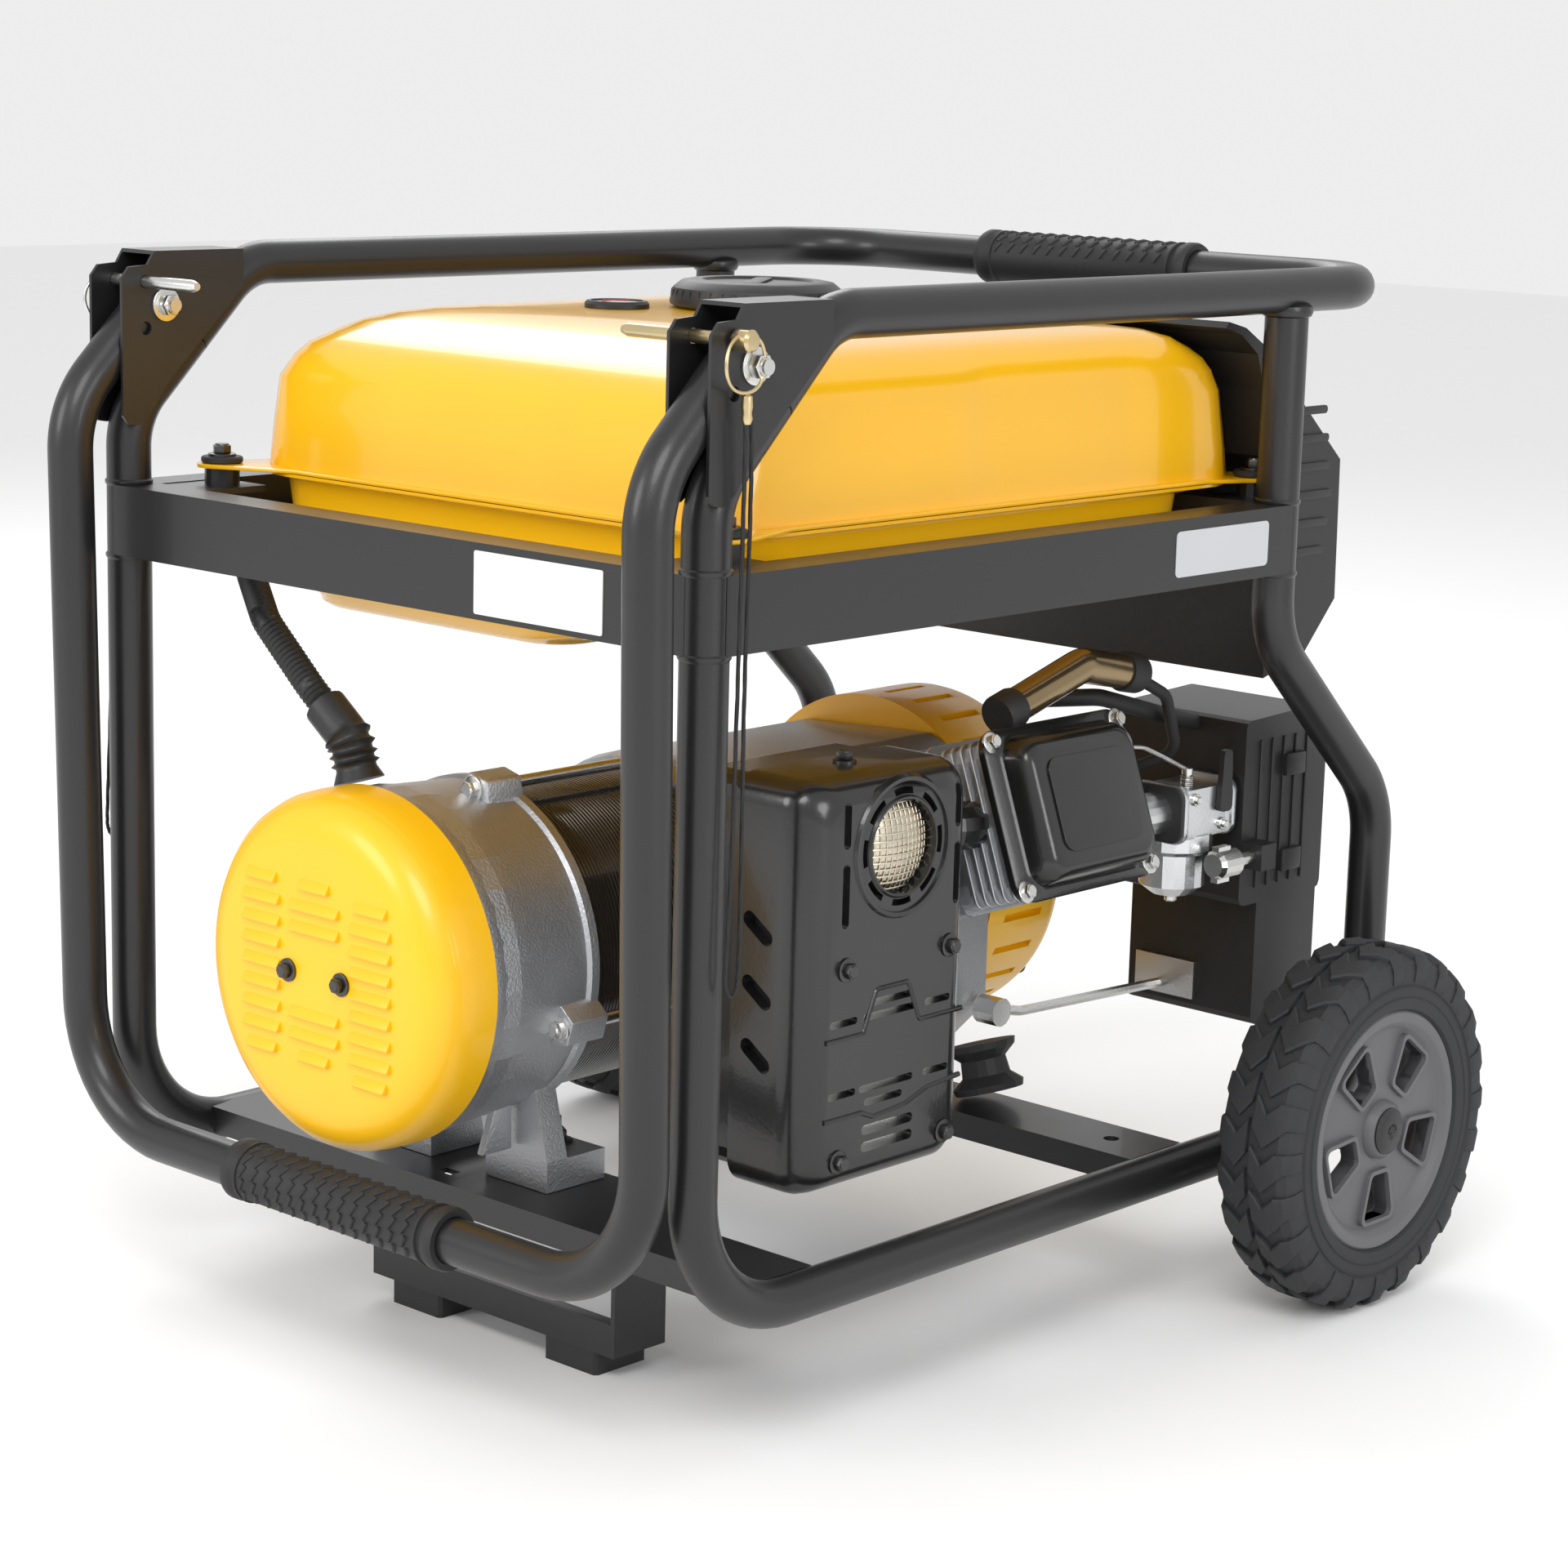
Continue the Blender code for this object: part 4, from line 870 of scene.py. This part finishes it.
def alternator():
    """The louvred cover, the bell's skin with its lugs and tie rods, and the stator's stack."""
    side = [
        (0.5, -298), (74, -298), (83, -297), (91, -293.4), (97, -287), (99.8, -279), (100.4, -270),
        (100.4, -256.3),
    ]
    cover = turned("X", SHAFT, side, 128)
    vents = []
    columns = ((44, 30, range(-4, 5), 0), (0, 40, (-4, -3, -2, 2, 3, 4), 0), (-46, 32, range(-4, 5), -5))
    for across, wide, rows, lift in columns:
        for k in rows:
            z = SHAFT_Z + k * 12 + lift
            narrow = wide * (0.6 if abs(k) == 4 and across == 0 else 0.8 if abs(k) == 4 else 1)
            wedge = [
                (-297, z + 6), (-298.6, z + 4.4), (-301.2, z + 0.4), (-300.8, z - 0.8), (-297, z - 0.8),
            ]
            y = SHAFT_Y + across
            vents.append(eased(prism("Y", wedge, y - narrow / 2, y + narrow / 2), 0.5, 2, 40))
    piece("alternator_lid", joined(cover, *vents), YELLOW_MATT, "frame", ["alternator_cover"], sharp=40)
    screws = [hex_bolt("X", (SHAFT_Y + d, SHAFT_Z), -298, -1, 4.5) for d in (-22, 22)]
    piece("alternator_lid_bolts", joined(*screws), DARK_STEEL)
    skin = [
        (88, -255.3), (98.7, -255.3), (98.7, -250), (97.6, -247), (94.4, -184), (96.4, -182),
        (96.4, -176.3), (88, -176.3),
    ]
    lugs = []
    bolts = []
    rods = []
    for degrees in (104, 196, 284, 16):
        a = math.radians(degrees)
        out, along = Vector((math.cos(a), math.sin(a))), Vector((-math.sin(a), math.cos(a)))
        middle = Vector(SHAFT)
        outline = [(86, -15), (98, -11), (106, -7), (106, 7), (98, 11), (86, 15)]
        flat = [tuple(middle + out * r + along * t) for r, t in outline]
        lugs.append(eased(prism("X", flat, -204, -176.4), 2.2, 3))
        seat = middle + out * 98.5
        bolts.append(hex_bolt("X", tuple(seat), -204, -1, 5))
        rods.append(turned("X", tuple(seat), [(3.4, -177), (3.4, -58)], 20))
    for foot in (-14, 78):
        rib = [(-218, 116), (-196, 116), (-196, 158), (-206, 150)]
        lugs.append(eased(prism("Y", rib, foot - 2.5, foot + 2.5), 1, 2))
    piece("bell_skin", joined(ring("X", SHAFT, skin, 128), *lugs), CAST)
    piece("bell_bolts", joined(*bolts, *rods), ZINC)
    stack = []
    x = -175.5
    while x < -63:
        stack += [(89, x), (89, x + 1.6), (88.5, x + 1.9), (88.5, x + 2.3)]
        x += 2.6
    stack += [(84, -62.2), (84, -175.5)]
    piece("stator_stack", ring("X", SHAFT, stack, 96), WINDING, "frame", ["stator"])
    dress(CAST, "end_bell", "adapter_bell", "crankcase", "cylinder_head")
    dress(STEEL, "rotor")
    dress(RUBBER, "rubber_mount_near", "rubber_mount_far")


def conduit():
    """A bellows boot, a plain sleeve and then a corrugated tube."""
    route = [
        (-239, 64, 319), (-239, 72, 342), (-240, 104, 366), (-236, 148, 398), (-214, 192, 425),
        (-170, 197, 446),
    ]
    route += [(150, 195, 446), (190, 195, 416), (237, 195, 416)]
    path = evenly(bent(route, [20, 30, 30, 30, 30, 20, 20], 8), 1.7)
    sizes = []
    for k in range(len(path)):
        far = k * 1.7
        if far < 7:
            sizes.append(14.6 - far * 0.45)
        elif far < 26:
            sizes.append(14 if k % 3 == 0 else 11.4)
        elif far < 50:
            sizes.append(12.2)
        else:
            sizes.append(8.5 if k % 2 else 7.2)
    piece("conduit_corrugated", tube(path, 1.0, 6, sizes), PLASTIC, "frame", ["cable_conduit"], sharp=70)


# ---- muffler ----

GUARD_FACE = -204.6
OUTLET_X, OUTLET_Z = -88, 305
OUTLET = (OUTLET_X, OUTLET_Z)
UPPER_CREASE = [(-146, 206), (-116, 206), (-106, 229), (-80, 229), (-70, 206), (-34, 206)]
LOWER_CREASE = [(-146, 162), (-116, 162), (-106, 158), (-80, 160), (-62, 166), (-34, 168)]


def muffler_cover():
    """The slotted guard with its rolled edge, pressed creases and raised rings round the outlet."""
    face = GUARD_FACE
    rows = []
    for y, left, rest in (
        (-150.4, 0, 0), (-184, 0, 0), (-189, 0.6, 0.3), (-194, 3.2, 1.6), (-198, 6.6, 3.6),
        (-201.4, 10.4, 6.4), (-203.6, 14.4, 9.8), (face, 18.4, 13.6),
    ):
        outline = rectangle(-162.6 + left, -28.4 - rest, 119.4 + rest, 346.6 - rest, 15, 6)
        rows.append([Vector((x, y, z)) for x, z in outline])
    body = loft(rows)
    wells = []

    def slot(x, z, half, tall=4.0, deep=8.0):
        outline = rectangle(x - half, x + half, z - tall / 2, z + tall / 2, min(half, tall / 2) * 0.98, 4)
        wells.append(prism("Y", outline, face - 2, face + deep))

    for x, z, half in (
        (-93.6, 222, 17), (-94, 214.6, 22), (-132, 214.6, 11), (-55, 214.6, 10.5),
        (-132, 175, 11), (-96, 175, 22), (-55, 175, 10.5), (-98, 167, 15.5),
    ):
        slot(x, z, half)
    slot(-94, 151.5, 21, 5.6)
    slot(-94, 142, 21, 5.6)
    for x in (-133, -42):
        slot(x, 322, 2.8, 25)
        slot(x, 284, 2.8, 35)
    for k in range(8):
        turn = Matrix.Translation((OUTLET_X, 0, OUTLET_Z)) @ Matrix.Rotation(math.radians(45 * k), 4, "Y")
        arc = [math.radians(90 + t) for t in range(-14, 15, 4)]
        outline = [(32.4 * math.cos(t), 32.4 * math.sin(t)) for t in arc]
        outline += [(28.8 * math.cos(t), 28.8 * math.sin(t)) for t in reversed(arc)]
        wells.append(moved(prism("Y", outline, face - 2, face + 7), turn))
    wells.append(turned("Y", OUTLET, [(26, face - 2), (26, face + 9)], 64))
    for z in (195, 230, 265):
        cut = prism("X", rectangle(-12, 12, -4.5, 4.5, 4.4, 4), -166, -155)
        wells.append(moved(cut, Matrix.Translation((0, -169, z)) @ Matrix.Rotation(0.6, 4, "X")))
    body = carved(body, joined(*wells))
    raised = []
    profile = [(35, face + 1), (36, face - 1.4), (38.2, face - 1.6), (40, face + 0.8), (40, face + 1.4)]
    raised.append(ring("Y", OUTLET, profile, 96))
    rim = [(25.6, face + 1), (26, face - 1.2), (27.2, face - 1.4), (28.2, face - 0.2), (28.2, face + 1)]
    raised.append(ring("Y", OUTLET, rim, 96))
    for crease in (UPPER_CREASE, LOWER_CREASE):
        path = [(x, face + 0.4, z) for x, z in crease]
        raised.append(tube(bent(path, [3, 3, 3, 3], 4), 1.5, 3))
    piece("muffler_cover", joined(body, *raised), ENAMEL, "frame", ["muffler_guard"], sharp=32)
    bolts = []
    for x, z in ((-131, 243.7), (-46.5, 243.7), (-134, 138), (-47, 138)):
        bolts.append(hex_bolt("Y", (x, z), face + 0.2, -1, 4.6))
    bolts.append(hex_bolt("Z", (-96, -168), 346.6, 1, 4.6))
    piece("muffler_bolts", joined(*bolts), DARK_STEEL)


def spark_screen():
    """The domed wire screen in the outlet, and the bright metal that shows through the guard's slots."""
    face = GUARD_FACE
    wires = []
    for k in range(-6, 7):
        for vertical in (False, True):
            reach = math.sqrt(max(1.0, 25.4**2 - (k * 3.9) ** 2))
            points = []
            for step in range(9):
                t = -reach + 2 * reach * step / 8
                r = min(25.3, math.hypot(t, k * 3.9))
                y = face + 6 - 6.8 * math.cos(r / 25.4 * math.pi / 2) ** 0.8
                u, v = (k * 3.9, t) if vertical else (t, k * 3.9)
                points.append((OUTLET_X + u, y + (0.3 if vertical else -0.3), OUTLET_Z + v))
            wires.append(tube([Vector(p) for p in points], 0.55, 1))
    back = [
        (0.5, face - 0.2), (8, face + 0.2), (15, face + 2), (21, face + 4.4), (25.5, face + 7),
        (25.5, face + 8),
    ]
    backing = turned("Y", OUTLET, back, 64)
    piece("spark_screen", joined(*wires, backing), MESH_STEEL, sharp=60)
    inner = eased(box((-144, face + 6.2, 134), (-40, face + 7.6, 228)), 0.4, 1)
    sides = [eased(box((x - 5, face + 6.2, 262), (x + 5, face + 7.6, 338)), 0.4, 1) for x in (-133, -42)]
    piece("muffler_core", joined(inner, *sides), ZINC)
    dress(ENAMEL, "muffler")


# ---- engine ----

# From the cylinder's own axes (along the shaft, up its face, out along the barrel) to the datum's.
TILT = Matrix(((1, 0, 0, 75), (0, 0.342, -0.94, SHAFT_Y), (0, 0.94, 0.342, SHAFT_Z), (0, 0, 0, 1)))


def engine():
    """The rocker cover and its bolts, the head's fins, and the plug's boot and lead."""
    rings = [
        (64, 50, 0, 14), (64, 50, 4.0, 14), (63, 49, 4.9, 13.5), (54, 45, 5.2, 12.5), (52, 43, 6.6, 12),
        (50.6, 41.6, 14, 12),
    ]
    rings += [(49, 40, 18.4, 12), (46.6, 37.6, 21.6, 11.5), (43, 34.6, 22.6, 11)]
    rows = [[Vector((x, y, 232.4 + d)) for x, y in rectangle(-w, w, -h, h, r, 8)] for w, h, d, r in rings]
    raised = eased(prism("Z", rectangle(-36, 36, -27, 27, 8, 6), 253, 256.4), 1.2, 3)
    cover = moved(joined(loft(rows), raised), TILT)
    piece("rocker_cover", cover, ENAMEL, "frame", ["valve_cover"], sharp=40)
    bolts = [
        moved(hex_bolt("Z", (sx * 57, sy * 43), 236.4, 1, 4.4), TILT)
        for sx in (-1, 1)
        for sy in (-1, 1)
    ]
    piece("rocker_cover_bolts", joined(*bolts), ZINC)
    fins = []
    for d in range(200, 232, 7):
        plate = prism("Z", rectangle(-60, 60, -47.5, 46, 6, 4), d, d + 2.2)
        fins.append(eased(plate, 0.5, 1))
    piece("head_fins", moved(joined(*fins), TILT), CAST)
    route = bent([(47, -163, 357), (112, -165, 377), (158, -165, 368)], [14], 10)
    piece("plug_boot", tube(route, 10.3, 8), BRONZE, "frame", ["spark_lead"])
    caps = []
    for at in ((47, -163, 357), (158, -165, 368)):
        collar = [(11.4, -8), (12, -6), (12, 6), (11.4, 8)]
        tip = turned("X", (0, 0), collar, 40)
        slope = -0.27 if at[0] < 100 else 0.19
        caps.append(moved(tip, Matrix.Translation(at) @ Matrix.Rotation(slope, 4, "Y")))
    lead = bent([(158, -165, 368), (196, -165, 350), (216, -160, 312), (206, -140, 302)], [16, 14], 8)
    piece("plug_lead", joined(tube(lead, 3.7, 5), *caps), RUBBER)


def carburettor_details():
    """Flanges, bolts, a spring and rod, the breather hose, and the air box's ribs and clips."""
    dress(ALLOY, "carburettor")
    dress(PLASTIC, "choke_lever", "air_box")
    dress(ZINC, "fuel_tap", "strut")
    bits = [hex_bolt("Y", (204, 288), -184, -1, 2.6), hex_bolt("Y", (232, 270), -184, -1, 2.6)]
    bits.append(hex_bolt("Z", (214, -162), 226, -1, 4))
    bits.append(turned("Z", (206, -176), [(2.4, 293), (2.4, 302), (3.4, 302.4), (3.4, 306)], 24))
    coil = []
    for k in range(60):
        t = k * 0.7
        coil.append(Vector((206 + 3.6 * math.cos(t), -176 + 3.6 * math.sin(t), 294 + k * 0.13)))
    bits.append(tube(coil, 0.4, 2))
    rod = bent([(206, -176, 305), (170, -170, 322), (110, -160, 330)], [20], 6)
    bits.append(tube(rod, 1.3, 3))
    piece("carburettor_fittings", joined(*bits), ZINC)
    outline = rectangle(-186, -146, 261, 297, 8, 5)
    flanges = [eased(prism("X", outline, x, x + 4), 0.6, 2) for x in (192, 240)]
    gasket = prism("X", rectangle(-185, -147, 262, 296, 8, 5), 189.6, 192)
    piece("carburettor_flanges", joined(*flanges), ALLOY)
    piece("carburettor_gasket", gasket, RUBBER)
    hose = bent([(112, -128, 352), (150, -150, 352), (214, -150, 334), (262, -148, 322)], [20, 24], 8)
    piece("breather_hose", tube(hose, 5.2, 5), RUBBER)
    ribs = [
        eased(box((262 + 12 * k, -190.2, 226), (265 + 12 * k, -188.6, 318)), 0.5, 1)
        for k in range(5)
    ]
    clips = []
    for z in (300, 240):
        clips.append(eased(box((286, -193, z - 7), (306, -188.6, z + 7)), 1.5, 2))
    piece("air_box_ribs", joined(*ribs, *clips), PLASTIC)


def recoil():
    """The vented starter housing, its bolts, the pull handle and a stub of its rope."""
    profile = [
        (105, 152.4), (105, 214), (103.6, 219), (99, 224), (92, 226.5), (74, 228.4), (60, 232),
        (50, 238), (40, 243),
    ]
    profile += [(30, 245.4), (8, 246)]
    drum = turned("X", SHAFT, profile, 128)
    cuts = []
    for k in range(16):
        if k in (11, 12):
            continue
        turn = Matrix.Translation((0, *SHAFT)) @ Matrix.Rotation(math.tau * k / 16, 4, "X")
        slot = prism("X", rectangle(66, 90, -3, 3, 2.9, 4), 222, 262)
        cuts.append(moved(slot, turn))
    for k in range(28):
        turn = Matrix.Translation((0, *SHAFT)) @ Matrix.Rotation(math.tau * k / 28, 4, "X")
        slot = prism("X", rectangle(98, 112, -2.6, 2.6, 2.5, 3), 168, 204)
        cuts.append(moved(slot, turn))
    drum = carved(drum, joined(*cuts))
    piece("recoil_shell", drum, YELLOW_MATT, "frame", ["recoil_cover"], sharp=40)
    bolts = []
    for degrees in (45, 135, 225, 315):
        a = math.radians(degrees)
        bolts.append(
            hex_bolt("X", (SHAFT_Y + 96 * math.cos(a), SHAFT_Z + 96 * math.sin(a)), 225.4, 1, 4.2)
        )
    piece("recoil_bolts", joined(*bolts), DARK_STEEL)
    bead = turned("X", (-30, 262), [(3, 244.6), (6, 245.4), (6, 250), (4, 251)], 24)
    handle = eased(prism("X", rectangle(-48, -12, 255, 269, 6.5, 6), 252, 270.6), 2.4, 3)
    piece("starter_handle", joined(bead, handle), PLASTIC, "starter", ["recoil_grip"])
    dress(PLASTIC, "oil_dipstick")
    rope = tube([Vector((200, -30, 262)), Vector((248, -30, 262))], 1.6, 4)
    piece("starter_rope", rope, CORD)


# ---- control box ----


def controls():
    """The hood's side ribs and the panel's rims, screws and lamp."""
    dress(PLASTIC, "control_hood", "socket_block", "breaker_button")
    dress(PANEL, "control_panel")
    dress(RED, "engine_switch")
    ribs = []
    for side in (-1, 1):
        for k in range(6):
            z = 432 + k * 17
            low, high = sorted((side * 204.6, side * 206.4))
            rib = rectangle(246, 298 - abs(k - 2) * 3, z, z + 5, 2.2, 3)
            ribs.append(eased(prism("Y", rib, low, high), 0.5, 2))
    piece("hood_ribs", joined(*ribs), PLASTIC)
    shine = []
    for y in (-114, -62):
        profile = [(17.2, 312.4), (19.6, 313.3), (19.6, 314.1), (18.4, 314.7), (17.2, 314.1)]
        shine.append(ring("X", (y, 446), profile, 64))
    piece("socket_rims", joined(*shine), PANEL)
    screws = [hex_bolt("X", (y, z), 304.8, 1, 2.6, washer=False) for y in (-158, 158) for z in (418, 474)]
    piece("panel_screws", joined(*screws), ZINC)
    lamp = turned("X", (68, 446), [(5, 304.6), (5, 306.6), (3.6, 308), (1, 308.6)], 40)
    piece("pilot_lamp", lamp, RED)


RAIL_END_X = -282.7


def plates():
    """Two blank label plates on the shelf rails."""
    label = eased(
        prism("X", rectangle(-170, -76, 434, 467, 1.2, 3), RAIL_END_X - 0.7, RAIL_END_X + 0.1), 0.15, 1,
    )
    piece("rating_plate", label, WHITE)
    strip = eased(prism("Y", rectangle(96, 184, 438, 464, 3, 4), -241.4, -240.6), 0.15, 1)
    piece("side_plate", strip, SILVER)


alternator()
conduit()
muffler_cover()
spark_screen()
engine()
carburettor_details()
recoil()
controls()
plates()
